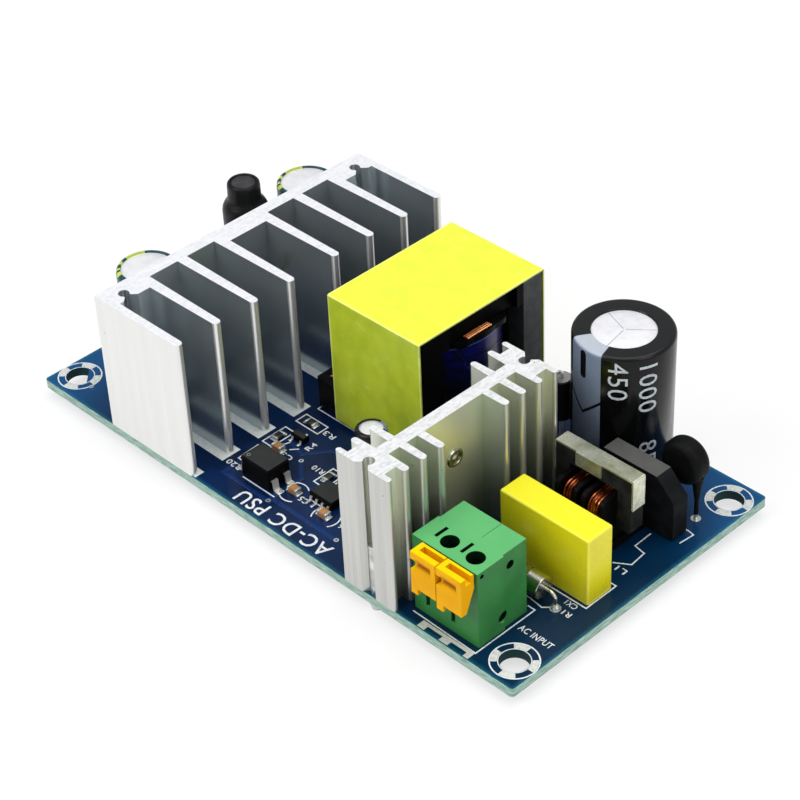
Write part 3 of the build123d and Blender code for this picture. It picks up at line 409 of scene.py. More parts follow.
@dataclass(frozen=True)
class Moulding(Finish):
    """Moulded plastic or pressed ceramic, mottled and finely grained.

    Outside its bodies, where it has any, it turns to the bare tinned metal of the leads. Its upward
    faces can take a painted highlight, its patches darken blocks, mostly as painted shade, and the
    edges of one block can take a painted highlight line.
    """

    base: Levels
    mottle: Levels
    roughness: float = 0.45
    grain: float = 0.22
    depth: float = 0.012
    shine: float = 0.5
    bodies: tuple[Block, ...] = ()
    # upper: the colour of a painted highlight that lightens the upward faces.
    upper: Levels | None = None
    # patches: blocks painted dark, mostly as painted shade in openings and hollows; patch is their
    # colour and fade their soft border.
    patches: tuple[Block, ...] = ()
    patch: Levels = (8, 8, 9)
    fade: float = 0.02
    # edged: the block along whose edges a painted highlight line is drawn in the edge colour.
    edged: Block | None = None
    edge: Levels = (255, 252, 120)
    tin_light: Levels = (246, 246, 242)
    tin_dark: Levels = (208, 208, 206)
    tin_roughness: float = 0.3

    def paint(self, shader: Shader) -> None:
        """Lays the mottled plastic, a painted highlight on its upward faces, the darker patches,
        mostly painted shade, a painted highlight along its edges, and the leads.

        Args:
            shader: the material under construction.
        """
        cloud = shader.noise(self.grain * 16, detail=4)
        grain = shader.noise(self.grain, detail=3)
        colour = shader.blend(cloud.ease(0.32, 0.68), self.base, self.mottle)
        # Painted highlight: the upward faces blend to the upper colour.
        if self.upper:
            lit = shader.facing().ease(0.72, 0.97) * (cloud.ease(0.3, 0.7) * 0.12 + 0.88)
            colour = shader.blend(lit, colour, self.upper)
        # Mostly painted shade: the patch blocks blend to the patch colour.
        if self.patches:
            patched = shader.inside_any(self.patches, self.fade)
            colour = shader.blend(patched, colour, self.patch)
        # Painted highlight along the edges of the edged block.
        if self.edged:
            painted_edge_highlight = shader.edge_of(self.edged) * (cloud.ease(0.3, 0.6) * 0.25 + 0.22)
            colour = shader.blend(painted_edge_highlight, colour, self.edge)
        rough = (grain - 0.5) * 0.25 + self.roughness
        if self.bodies:
            body = shader.inside_any(self.bodies)
            colour = shader.blend(body, shader.blend(grain, self.tin_dark, self.tin_light), colour)
            rough = (rough - self.tin_roughness) * body + self.tin_roughness
            shader.set(Metallic=(1 - body) * 0.8)
        shader.set(Base_Color=colour, Roughness=rough, Specular_IOR_Level=self.shine)
        shader.wear(grain + cloud * 0.5, self.depth)


@dataclass(frozen=True)
class Metal(Finish):
    """Plated, drawn or soldered metal, with faint draw lines along one axis and dull patches."""

    light: Levels
    dark: Levels
    roughness: float = 0.28
    metallic: float = 1.0
    lines: Point = (1, 1, 1)
    grain: float = 0.3
    depth: float = 0.01

    def paint(self, shader: Shader) -> None:
        """Lays the metal with its patches and lines.

        Args:
            shader: the material under construction.
        """
        patch = shader.noise(self.grain * 6, detail=4)
        line = shader.noise(self.grain, self.lines, detail=3)
        shader.set(
            Base_Color=shader.blend(patch.ease(0.35, 0.7), self.light, self.dark),
            Roughness=(patch - 0.5) * 0.3 + (line - 0.5) * 0.2 + self.roughness,
            Metallic=self.metallic,
        )
        shader.wear(line, self.depth)


@dataclass(frozen=True)
class SolderMask(Finish):
    """Glossy lacquer over copper and glass laminate, whose cut edges show the bare laminate. The
    lacquer carries painted reflection, paler teal, in its far corners and along its rim, and painted
    shade towards the right front.
    """

    lacquer: Levels = (4, 38, 84)
    deep: Levels = (3, 24, 58)
    # far and rim are the colours of painted reflection; shaded is the colour of painted shade.
    far: Levels = (6, 80, 132)
    rim: Levels = (26, 112, 140)
    shaded: Levels = (0, 40, 64)
    laminate: Levels = (170, 198, 184)
    laminate_dark: Levels = (124, 154, 144)
    wall: Levels = (26, 58, 60)
    half_length: float = 53.5
    half_width: float = 28.5
    hole_x: float = 49.75
    hole_y: float = 24.0
    hole_reach: float = 2.6

    def paint(self, shader: Shader) -> None:
        """Lays the lacquer with its painted reflection and painted shade on the flat faces, and the
        laminate on the cut ones.

        Args:
            shader: the material under construction.
        """
        x, y, _ = shader.axes()
        flat = abs(shader.facing()).ease(0.35, 0.65)
        cloud = shader.noise(9, detail=5)
        ripple = shader.noise(0.9, detail=3)
        lacquer = shader.blend(cloud.ease(0.3, 0.7), self.deep, self.lacquer)
        # Painted reflection: the far corners turn to the far colour.
        painted_reflection = (x * -1).ease(30, 52).most((x + y).ease(54, 76))
        lacquer = shader.blend(painted_reflection * 0.85, lacquer, self.far)
        # Painted shade towards the right front of the board.
        painted_shade = (x - y * 0.4).ease(14, 52) * (1 - painted_reflection) * 0.75
        lacquer = shader.blend(painted_shade, lacquer, self.shaded)
        # Painted reflection along the board's rim.
        margin = (abs(x) - self.half_length).most(abs(y) - self.half_width)
        rim = (margin + ripple * 0.4).ease(-0.7, 0.35)
        lacquer = shader.blend(rim * 0.55, lacquer, self.rim)
        weave = shader.noise(0.45, (0.25, 0.25, 2.6), detail=4)
        cut = shader.blend(weave.ease(0.35, 0.65), self.laminate_dark, self.laminate)
        bore = abs(abs(x) - self.hole_x).most(abs(abs(y) - self.hole_y))
        cut = shader.blend(bore.ease(self.hole_reach + 0.1, self.hole_reach), cut, self.wall)
        shader.set(
            Base_Color=shader.blend(flat, cut, lacquer),
            Roughness=0.75 - flat * 0.45 + (ripple - 0.5) * 0.1,
            Coat_Weight=flat * 0.05,
            Specular_IOR_Level=0.2,
        )
        shader.wear(ripple * flat * 0.4 + weave * (1 - flat), 0.02)


@dataclass(frozen=True)
class Extrusion(Finish):
    """Extruded aluminium: die lines on its sides, saw marks on its ends, painted shade in its
    pockets, deeper towards the bottom.
    """

    pockets: tuple[Block, ...]
    side_light: Levels = (238, 237, 234)
    side_dark: Levels = (228, 229, 228)
    sawn_light: Levels = (244, 245, 248)
    sawn_dark: Levels = (228, 230, 236)
    pit: Levels = (140, 142, 144)
    # The pale and deep tones of the painted shade in the pockets: pale at the top, deep at the
    # bottom.
    painted_pale_tone: Levels = (211, 218, 221)
    deep: Levels = (192, 203, 210)
    polish: float = 0.08

    def paint(self, shader: Shader) -> None:
        """Lays the drawn sides, the painted shade in the pockets, the sawn ends and the nicks.

        Args:
            shader: the material under construction.
        """
        cut = abs(shader.facing()).ease(0.6, 0.9)
        lines = shader.noise(0.3, (1, 1, 0.012), detail=3)
        broad = shader.noise(2.4, (1, 1, 0.03), detail=2)
        saw = shader.noise(0.4, (1, 0.2, 1), detail=4)
        speck = shader.noise(0.6, detail=5)
        nick = shader.cells(3.4).ease(0.06, 0.02) * speck.ease(0.42, 0.5)
        drawn = (lines * 0.4 + broad * 0.6).ease(0.25, 0.75)
        side = shader.blend(drawn, self.side_dark, self.side_light)
        # Painted shade between the fins, darker towards the bottom.
        pocket = shader.inside_any(self.pockets) * (1 - cut)
        _, _, z = shader.axes()
        painted_pocket_shade = shader.blend((z + broad * 3).ease(4, 22), self.deep, self.painted_pale_tone)
        side = shader.blend(pocket, side, painted_pocket_shade)
        sawn = (saw * 0.5 + speck * 0.5).ease(0.36, 0.6)
        end = shader.blend(sawn, self.sawn_dark, self.sawn_light)
        shader.set(
            Base_Color=shader.blend(nick, shader.blend(cut, side, end), self.pit),
            Metallic=0.72 - cut * 0.4 + pocket * 0.16,
            Roughness=cut * 0.25 + 0.3 - pocket * self.polish + (broad - 0.5) * 0.06,
        )
        relief = (lines * 0.1 + broad * 0.2) * (1 - cut) + (saw + speck) * cut * 0.8 - nick * 3
        shader.wear(relief, 0.02)


@dataclass(frozen=True)
class Film(Finish):
    """Thin glossy tape with soft wrinkles, its sides darker than its top, partly as the see-through
    tape over darker parts and partly as painted shade, and a painted highlight along its edges.
    """

    # front is the top's colour; thin is the sides' colour, partly painted shade and partly the
    # see-through tape over the dark core.
    front: Levels
    thin: Levels
    block: Block
    # The colour of the real scuffs and of the painted edge highlight.
    scuff_and_highlight_tone: Levels = (244, 250, 150)
    wrinkle: float = 3.0
    roughness: float = 0.32

    def paint(self, shader: Shader) -> None:
        """Lays the film with its sides in painted shade, its scuffs, and a painted highlight along
        its edges.

        Args:
            shader: the material under construction.
        """
        up = shader.facing()
        cloud = shader.noise(self.wrinkle, (1, 1, 0.7), detail=3)
        fold = shader.cells(self.wrinkle * 1.8)
        fine = shader.noise(0.25, (3, 0.4, 1), detail=2)
        # Painted shade: faces that do not look up blend to the thin colour, which is partly the
        # see-through tape over the dark core.
        cover = up.ease(0.1, 0.7) * 0.84 + cloud.ease(0.35, 0.65) * 0.16
        scuff = shader.noise(1.1, (0.3, 1.8, 0.8), detail=5).ease(0.6, 0.7) * fold.ease(0.3, 0.6)
        # Painted highlight along the block's edges.
        painted_edge_highlight = shader.edge_of(self.block) * (cloud.ease(0.2, 0.6) * 0.4 + 0.3)
        film = shader.blend(cover, self.thin, self.front)
        shader.set(
            Base_Color=shader.blend((scuff * 0.2).most(painted_edge_highlight), film, self.scuff_and_highlight_tone),
            Roughness=(cloud - 0.5) * 0.2 + self.roughness,
            Coat_Weight=0.35,
        )
        shader.wear(cloud * 1.2 + fold * 0.5 + fine * 0.05, 0.12)


@dataclass(frozen=True)
class Sleeve(Finish):
    """The shrunk printed sleeve of a can: a polarity stripe, and marks that swap the two colours.

    A mark is given as its angle, its height on the can, and its half width and half height.
    Upward faces take a painted sheen, strongest on the stripe.
    """

    axis: Spot
    radius: float
    ground: Levels
    stripe: Levels
    stripe_middle: float
    stripe_half: float
    marks: tuple[tuple[float, float, float, float], ...] = ()
    arrow: Spot = (0.0, 0.0)
    # The painted sheen on upward faces: its share on the stripe, and its colour.
    painted_top_sheen: float = 0.0
    painted_sheen_tone: Levels = (236, 242, 246)
    shine: float = 0.2

    def paint(self, shader: Shader) -> None:
        """Lays the ground, the stripe with its marks and arrow, and a painted sheen on the upward
        faces.

        Args:
            shader: the material under construction.
        """
        x, y, z = shader.axes()
        up = shader.facing()
        dx, dy = x - self.axis[0], y - self.axis[1]
        arc = self._arc(dx, dy, self.stripe_middle)
        stripe_reach = math.radians(self.stripe_half) * self.radius
        printed = (abs(arc) - stripe_reach).ease(0.05, -0.05)
        for angle, height, wide, tall in self.marks:
            end = min(wide, tall)
            side = (abs(self._arc(dx, dy, angle)) - (wide - end)).most(0)
            rise = (abs(z - height) - (tall - end)).most(0)
            mark = ((side * side + rise * rise).alone("SQRT") - end).ease(0.05, -0.05)
            printed = abs(printed - mark)
        if self.arrow[0]:
            tip, slope = self.arrow
            line = abs(z - tip - abs(arc) * slope).ease(0.34, 0.24)
            printed = printed * (1 - line)
        haze = shader.noise(0.9, detail=3)
        grain = shader.noise(0.16, detail=3)
        ripple = shader.noise(2.4, (1, 1, 0.35), detail=2)
        fade = printed * (grain.ease(0.3, 0.7) * 0.2 + 0.8)
        # Painted sheen: upward faces blend towards the pale sheen colour.
        pale = up.ease(0.3, 0.9) * (fade * self.painted_top_sheen + 0.012)
        shader.set(
            Base_Color=shader.blend(
                pale, shader.blend(fade, self.ground, self.stripe), self.painted_sheen_tone
            ),
            Roughness=(haze - 0.5) * 0.12 + 0.2,
            Coat_Weight=0.04,
            Specular_IOR_Level=self.shine,
        )
        shader.wear(ripple + haze * 0.15, 0.04)

    def _arc(self, dx: Field, dy: Field, middle: float) -> Field:
        """Measures round the can from an angle.

        Args:
            dx: how far the place lies from the can's axis along x.
            dy: how far it lies from the axis along y.
            middle: the angle in degrees.

        Returns:
            The distance in millimetres.
        """
        turn = math.radians(middle)
        along = dx * math.cos(turn) + dy * math.sin(turn)
        across = dy * math.cos(turn) - dx * math.sin(turn)
        return across.angle_from(along) * self.radius


@dataclass(frozen=True)
class LappedTape(Finish):
    """Glossy blue tape lapped round an upright axis, with a painted highlight line along its upper
    edge and on its creases, and painted shade in its laps and lower down.
    """

    axis: Spot
    top: float
    tape: Levels = (7, 16, 98)
    shadow: Levels = (4, 7, 32)
    # The colour of the painted highlight along the upper edge and on the creases.
    painted_pale_tone: Levels = (90, 120, 206)

    def paint(self, shader: Shader) -> None:
        """Lays the tape with its laps and creases, its painted shade, and a painted highlight on its
        upper edge and creases.

        Args:
            shader: the material under construction.
        """
        x, y, z = shader.axes()
        angle = (y - self.axis[1]).angle_from(x - self.axis[0])
        lap = (z / 4.6 + angle * 0.16).alone("FRACT")
        fold = shader.noise(2.2, (1, 1, 1.6), detail=3)
        edge = abs(z - self.top + 0.75 + (fold - 0.5) * 0.5).ease(0.16, 0.05)
        crease = (angle * 0.95 + z * 0.07 + fold * 0.4 + 0.39).alone("FRACT")
        crease = abs(crease - 0.5).ease(0.006, 0.002)
        # Painted shade: the lap lines and the winding further below its top blend to the shadow
        # colour.
        low = (z - self.top).ease(-9.0, -1.0)
        hollow = lap.ease(0.02, 0.1) * low * fold.ease(0.25, 0.6)
        tape = shader.blend(hollow, self.shadow, self.tape)
        # Painted highlight along the upper edge and on the creases.
        shader.set(
            Base_Color=shader.blend((edge + crease * 0.4).least(1) * 0.6, tape, self.painted_pale_tone),
            Roughness=0.3 + fold * 0.15,
            Coat_Weight=0.2,
            Specular_IOR_Level=0.3,
        )
        shader.wear(lap.ease(0.0, 0.06) * 0.5 + fold * 0.5 + edge * 0.2 + crease, 0.1)


@dataclass(frozen=True)
class Glass(Finish):
    """The thin clear tube of a fuse, slightly green, with fine dust."""

    tint: Levels = (232, 240, 232)
    index: float = 1.47

    def paint(self, shader: Shader) -> None:
        """Lays the clear glass and its dust.

        Args:
            shader: the material under construction.
        """
        dust = shader.noise(0.4, detail=4).ease(0.5, 0.8) * 0.2
        shader.set(Base_Color=linear(self.tint), Transmission_Weight=1.0, IOR=self.index)
        shader.set(Roughness=dust)


@dataclass(frozen=True)
class PrintInk(Finish):
    """Screen printed ink, a little uneven over the lacquer."""

    full: Levels = (232, 234, 236)
    thin: Levels = (190, 200, 214)
    patch: float = 0.5

    def paint(self, shader: Shader) -> None:
        """Lays the ink in full and thin patches.

        Args:
            shader: the material under construction.
        """
        cover = shader.noise(self.patch, detail=4)
        ink = shader.blend(cover.ease(0.3, 0.52), self.thin, self.full)
        shader.set(Base_Color=ink, Roughness=0.5 + (cover - 0.5) * 0.3)
        shader.wear(cover, 0.01)


# ------------------------------------------------------------------- geometry


class Piece:
    """A mesh under construction in millimetres, which ends as one named object of the model."""

    def __init__(self, name: str) -> None:
        """Starts an empty mesh."""
        self.name = name
        self.mesh = bmesh.new()

    def box(
        self, low: Point, high: Point, bevel: float = 0.0, turn: float = 0.0, pivot: Spot = (0, 0)
    ) -> None:
        """Adds a box between two corners, its edges rounded, turned about an upright axis.

        Args:
            low: the lowest corner.
            high: the highest corner.
            bevel: the edge radius.
            turn: the angle in degrees.
            pivot: the place of the axis.
        """
        size = [b - a for a, b in zip(low, high)]
        middle = [(a + b) / 2 for a, b in zip(low, high)]
        about = Matrix.Translation((*pivot, 0)) @ Matrix.Rotation(math.radians(turn), 4, "Z")
        place = about @ Matrix.Translation(middle) @ Matrix.Diagonal((*size, 1))
        verts = bmesh.ops.create_cube(self.mesh, size=1, matrix=place)["verts"]
        if bevel:
            bmesh.ops.bevel(
                self.mesh,
                geom=list({edge for vert in verts for edge in vert.link_edges}),
                offset=bevel,
                segments=2,
                affect="EDGES",
                profile=0.5,
                material=-1,
            )

    def lathe(
        self,
        profile: list[Spot],
        centre: Spot,
        steps: int = 48,
        start: float = 0.0,
        sweep: float = 360.0,
    ) -> None:
        """Spins a closed profile of (radius, height) points about an upright axis.

        Args:
            profile: the points in order, the outline closed by its axis or by its last side.
            centre: the place of the axis.
            steps: how many faces go round.
            start: the first angle in degrees.
            sweep: the angle turned through in degrees.
        """
        turn = Matrix.Rotation(math.radians(start), 4, "Z")
        points = [Vector((*centre, 0)) + turn @ Vector((r, 0, z)) for r, z in profile]
        verts = [self.mesh.verts.new(point) for point in points]
        closed = profile[0][0] > 0 and profile[-1][0] > 0
        pairs = list(zip(verts, verts[1:])) + ([(verts[-1], verts[0])] if closed else [])
        edges = [self.mesh.edges.new(pair) for pair in pairs]
        full = abs(sweep) >= 360
        bmesh.ops.spin(
            self.mesh,
            geom=verts + edges,
            cent=(*centre, 0),
            axis=(0, 0, 1),
            angle=math.radians(sweep),
            steps=steps,
            use_merge=full,
        )
        bmesh.ops.remove_doubles(self.mesh, verts=self.mesh.verts, dist=MERGE_REACH)
        if not full:
            rims = [edge for edge in self.mesh.edges if edge.is_boundary]
            bmesh.ops.holes_fill(self.mesh, edges=rims, sides=0)

    def rod(self, centre: Spot, radius: float, high: float) -> None:
        """Adds an upright round rod from level 0."""
        self.lathe([(0, 0), (radius, 0), (radius, high), (0, high)], centre, steps=16)

    def ring(
        self, centre: Spot, inner: float, outer: float, low: float, high: float, **turning: float
    ) -> None:
        """Adds a flat ring, or a part of one, between two radii and two heights.

        Args:
            centre: the place of its axis.
            inner: the inner radius.
            outer: the outer radius.
            low: its lower level.
            high: its upper level.
            turning: steps, start and sweep, as a lathe takes them.
        """
        profile = [(inner, low), (outer, low), (outer, high), (inner, high)]
        self.lathe(profile, centre, **({"steps": 40} | turning))

    def prism(self, outline: list[Spot], low: float, high: float) -> None:
        """Adds an upright prism over a flat outline.

        Args:
            outline: its corners in order.
            low: its lower level.
            high: its upper level.
        """
        verts = [self.mesh.verts.new((x, y, low)) for x, y in outline]
        face = bmesh.ops.contextual_create(self.mesh, geom=verts)["faces"]
        raised = bmesh.ops.extrude_face_region(self.mesh, geom=face, use_keep_orig=True)["geom"]
        tops = [item for item in raised if isinstance(item, bmesh.types.BMVert)]
        bmesh.ops.translate(self.mesh, verts=tops, vec=(0, 0, high - low))

    def stroke(self, points: list[Spot], width: float, low: float, high: float) -> None:
        """Adds a flat line of square ended runs, every second one raised so that none overlap.

        Args:
            points: where the runs start and end.
            width: how wide the line is.
            low: its lower level.
            high: its upper level.
        """
        half = width / 2
        for run, ((x0, y0), (x1, y1)) in enumerate(zip(points, points[1:])):
            length = math.hypot(x1 - x0, y1 - y0)
            turn = math.degrees(math.atan2(y1 - y0, x1 - x0))
            corner = (length + half, half, high + run % 2 * RUN_LIFT)
            self.box((-half, -half, low), corner, turn=turn, pivot=(x0, y0))

    def _add_curve(self, curve: bpy.types.Curve, place: Matrix, length: float = 0.0) -> None:
        """Adds a curve's own mesh at a place, its runs joined, and as long as asked along x.

        Args:
            curve: the curve, which is used up.
            place: where its mesh goes.
            length: how long it becomes along x, or 0 for its own length.
        """
        holder = bpy.data.objects.new("route", curve)
        made = bpy.data.meshes.new_from_object(holder)
        if length:
            places = [vert.co.x for vert in made.vertices]
            stretch = length / (max(places) - min(places))
            made.transform(Matrix.Diagonal((stretch, 1, 1, 1)))
        made.transform(place)
        self.mesh.from_mesh(made)
        bpy.data.objects.remove(holder)
        bpy.data.curves.remove(curve)
        bpy.data.meshes.remove(made)
        bmesh.ops.remove_doubles(self.mesh, verts=self.mesh.verts, dist=MERGE_REACH)

    def wire(self, points: list[Point], radius: float, loop: bool = False) -> None:
        """Adds a round wire that is led by the points, closed on itself if it is a loop.

        Args:
            points: the points that lead it.
            radius: its radius.
            loop: whether it closes on itself.
        """
        curve = bpy.data.curves.new("route", "CURVE")
        curve.dimensions = "3D"
        curve.bevel_depth = radius
        curve.bevel_resolution = 2
        curve.use_fill_caps = not loop
        curve.resolution_u = 5
        spline = curve.splines.new("NURBS")
        spline.points.add(len(points) - 1)
        for knot, point in zip(spline.points, points):
            knot.co = (*point, 1)
        spline.use_cyclic_u = loop
        spline.use_endpoint_u = not loop
        spline.order_u = min(4, len(points))
        self._add_curve(curve, Matrix.Identity(4))

    def text(
        self,
        words: str,
        size: float,
        place: Point,
        turn: float,
        length: float = 0.0,
        boldness: float = 0.0,
    ) -> None:
        """Adds raised lettering that starts at a place and reads along an angle.

        Args:
            words: what it says.
            size: the height of a capital letter.
            place: where its first letter stands, on its base line.
            turn: the reading direction in degrees.
            length: how long the words are, or 0 for their usual length.
            boldness: how much wider the strokes are, in letter heights.
        """
        curve = bpy.data.curves.new("words", "FONT")
        curve.body = words
        curve.size = size / CAPITAL_SHARE
        curve.offset = size * boldness
        curve.resolution_u = 3
        curve.extrude = INK_DEPTH / 2
        curve.space_character = 1.08
        about = Matrix.Translation(Vector(place)) @ Matrix.Rotation(math.radians(turn), 4, "Z")
        self._add_curve(curve, about @ Matrix.Translation((0, 0, INK_DEPTH / 2)), length)

    def lay_along_x(self, place: Point) -> None:
        """Turns the piece's upright axis to +X and moves its origin to a place."""
        lay = Matrix.Translation(place) @ Matrix.Rotation(math.radians(90), 4, "Y")
        bmesh.ops.transform(self.mesh, matrix=lay, verts=self.mesh.verts)

    def wrap_text(
        self,
        words: str,
        size: float,
        centre: Spot,
        radius: float,
        angle: float,
        start: float,
        length: float,
    ) -> None:
        """Adds thin lettering that reads downward on the side of an upright can.

        Args:
            words: what it says.
            size: the height of a capital letter.
            centre: the place of the can's axis.
            radius: the can's radius.
            angle: where the letters' base line stands, in degrees.
            start: the level of the first letter.
            length: how long the words are.
        """
        flat = Piece("words")
        flat.text(words, size, (0, 0, 0), 0, length)
        mesh = flat.mesh
        for cut in range(1, 12):
            bmesh.ops.bisect_plane(
                mesh,
                geom=mesh.verts[:] + mesh.edges[:] + mesh.faces[:],
                dist=1e-5,
                plane_co=(0, cut * size / 10, 0),
                plane_no=(0, 1, 0),
            )
        for vert in mesh.verts:
            along, up, out = vert.co
            turn = math.radians(angle) + up / radius
            reach = radius + out
            x, y = centre[0] + reach * math.cos(turn), centre[1] + reach * math.sin(turn)
            vert.co = (x, y, start - along)
        bent = bpy.data.meshes.new("words")
        mesh.to_mesh(bent)
        mesh.free()
        self.mesh.from_mesh(bent)
        bpy.data.meshes.remove(bent)

    def finish(
        self,
        look: Finish,
        slot: Slot,
        body: str = "board",
        replaces: tuple[str, ...] = (),
        sharp: float = 35.0,
    ) -> None:
        """Makes the object, in metres, sets it on its body and hides the nodes that it stands for.

        Args:
            look: the finish it wears.
            slot: not used.
            body: the body that it rides on.
            replaces: the nodes that it stands for.
            sharp: the angle in degrees from which an edge stays sharp.
        """
        bmesh.ops.scale(self.mesh, vec=(MM, MM, MM), verts=self.mesh.verts)
        bmesh.ops.recalc_face_normals(self.mesh, faces=self.mesh.faces)
        mesh = bpy.data.meshes.new(self.name)
        self.mesh.to_mesh(mesh)
        self.mesh.free()
        mesh.shade_smooth()
        mesh.set_sharp_from_angle(angle=math.radians(sharp))
        mesh.materials.append(look.build(self.name))
        made = show(self.name, mesh)
        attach(made, body)
        if replaces:
            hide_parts(*replaces)
        log.info("piece %s: %d faces", self.name, len(mesh.polygons))


class Dresser:
    """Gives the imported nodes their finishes."""

    def __init__(self, nodes: dict[str, bpy.types.Object]) -> None:
        """Keeps the nodes by name."""
        self.nodes = nodes

    def wear(self, look: Finish, *names: str) -> None:
        """Dresses the named nodes in one finish.

        Args:
            look: the finish.
            names: the nodes, the first of which names the material.
        """
        material = look.build(f"{names[0]}_finish")
        for name in names:
            slots = self.nodes[name].data.materials
            slots.clear()
            slots.append(material)
            log.info("node %s: dressed", name)


# ----------------------------------------------------------------- assemblies


TIN = Metal((230, 230, 226), (176, 176, 176), roughness=0.3, metallic=0.85)
SOLDER = Metal((236, 236, 232), (190, 192, 192), 0.26, 0.75, grain=0.5, depth=0.03)
INK = PrintInk()

OUTLINES = (
    [(-13.7, -3.1), (16.4, -3.1), (16.4, 23.4), (-13.7, 23.4), (-13.7, -3.1)],
    [(43.4, -14.3), (44.7, -14.3), (44.65, -26.7), (31.9, -26.45)],
    [(31.6, -2.4), (31.6, -9.15), (49.9, -9), (49.9, -2.4), (31.6, -2.4)],
    [(33.4, -12.6), (42.5, -12.9), (45, -13.2), (45.9, -12.4)],
    [(46.2, 1.2), (48.5, 2.7), (48.2, 5.9), (46.1, 6.25), (46, 9.9)],
    [(35, 14.5), (49.7, 14.3), (50.9, 14.1), (50.6, 11.3)],
    [(-14, -7.7), (-8.9, -7.7), (-8.9, -5.35), (-14, -5.35), (-14, -7.7)],
    [(-14.1, -14.9), (-11.9, -14.9), (-11.9, -9.9), (-14.1, -9.9), (-14.1, -14.9)],
    [(-0.6, -16.2), (1.9, -16.2), (1.9, -12), (-0.6, -12), (-0.6, -16.2)],
    [(-12.6, -16), (-13.9, -16), (-13.7, -20.4), (-12.6, -20.4)],
    [(-9.6, -23), (-2.4, -23)],
    [(2.2, -19.6), (6.8, -19.6)],
    [(-11.1, -13.5), (-10.6, -12.3), (-10.7, -11.7)],
    [(-9.2, -13.4), (-8.3, -12.4)],
    [(-45, -6.4), (-53.2, -6.4), (-53.2, 2), (-45, 2), (-45, -6.4)],
)
ARCS = ((-0.9, -20.1, 50), (-0.9, -20.1, 230), (7.1, -20.8, -40), (7.1, -20.8, 140))
CIRCLES = ((-41.5, -13.4, 5.6), (-41.5, 21.75, 5.6), (7.9, -11.1, 2.95), (-44.6, 10.5, 4.4))
WORDS = (
    ("AC-DC PSU", 2.7, (13.4, -24.95), 180, 20.4),
    ("AC INPUT", 1.15, (45.5, -18.9), 0, 6.3),
    ("CX1", 1, (48.9, -9.4), 180, 2.1),
    ("R1", 1, (49.45, -11.3), 180, 1.45),
    ("L1", 1.1, (49.2, 1.25), 180, 1.8),
    ("R20", 1.1, (-11.3, -21.4), 180, 3.1),
    ("R3", 1.05, (-5.9, -6.1), 180, 2.4),
    ("R4", 1.05, (-6.7, -11.8), 90, 2.1),
    ("C3", 1.05, (-7.1, -14.4), 180, 2.3),
    ("R10", 1.05, (-0.85, -13.3), 180, 2.4),
    ("C5", 1.05, (2.7, -19.9), 180, 1.9),
    ("C6", 1.05, (12, -20.2), 180, 1.9),
    ("U1", 1.05, (10.2, -16.8), 180, 1.9),
    ("C7", 1.05, (4.6, -8.4), 180, 1.9),
    ("+", 1.6, (-52.6, 3), 0, 0),
    ("-", 1.6, (-52.6, -8.6), 0, 0),
)
TRACKS = (
    ([(-6, -14), (-2.6, -17), (-2.6, -23.4), (12, -23.4)], 0.7),
    ([(-13, -17), (-13, -24.2), (-2, -24.2)], 0.6),
    ([(9.5, -14.5), (13.2, -18), (16, -18)], 0.8),
    ([(-9.9, -12), (-7, -12.9), (-4, -9), (4, -7.4)], 0.6),
    ([(-51.6, -10), (-51.6, -19), (-46, -24.6)], 1.8),
    ([(-51.6, 6), (-51.6, 18.4)], 1.8),
    ([(20, 24.8), (20, 27.2), (40, 27.2)], 1.2),
)
COPPER_FIELDS = (
    [(-52, -18), (-24, -18), (-24, -3.2), (-47, -3.2), (-47, -5.8), (-52, -5.8)],
    [(-52, 1.8), (-45.6, 1.8), (-45.6, -1.4), (-27, -1.4), (-27, 18.8), (-52, 18.8)],
    [(-21, -2.4), (-11, -2.4), (-11, 22.6), (-21, 22.6)],
    [(13.6, -2.4), (18.4, -2.4), (18.4, 16.4), (28.6, 16.4), (28.6, 26.6), (13.6, 26.6)],
    [(32.8, 16), (51.8, 16), (51.8, 19.6), (42, 19.6), (42, 26), (32.8, 26)],
    [(33, 8.6), (38, 8.6), (38, 13.4), (33, 13.4)],
    [(40, -18.6), (52, -18.6), (52, -8), (47, -8), (47, -11), (40, -11)],
    [(30, -19), (37.6, -19), (37.6, -4), (30, -4)],
    [(-10, -24.6), (16, -24.6), (16, -20.4), (-10, -20.4)],
)
PADS = (
    (46.6, -12, 0.32, 0.88),
    (31.8, -12, 0.32, 0.88),
    (43.7, 17.3, 0.37, 0.8),
    (48.7, 17.3, 0.37, 0.8),
)
CROSSINGS = ((-5.8, -14.1), (12.2, -23.4), (-2.4, -24.2), (16.2, -18), (-46, -24.6))


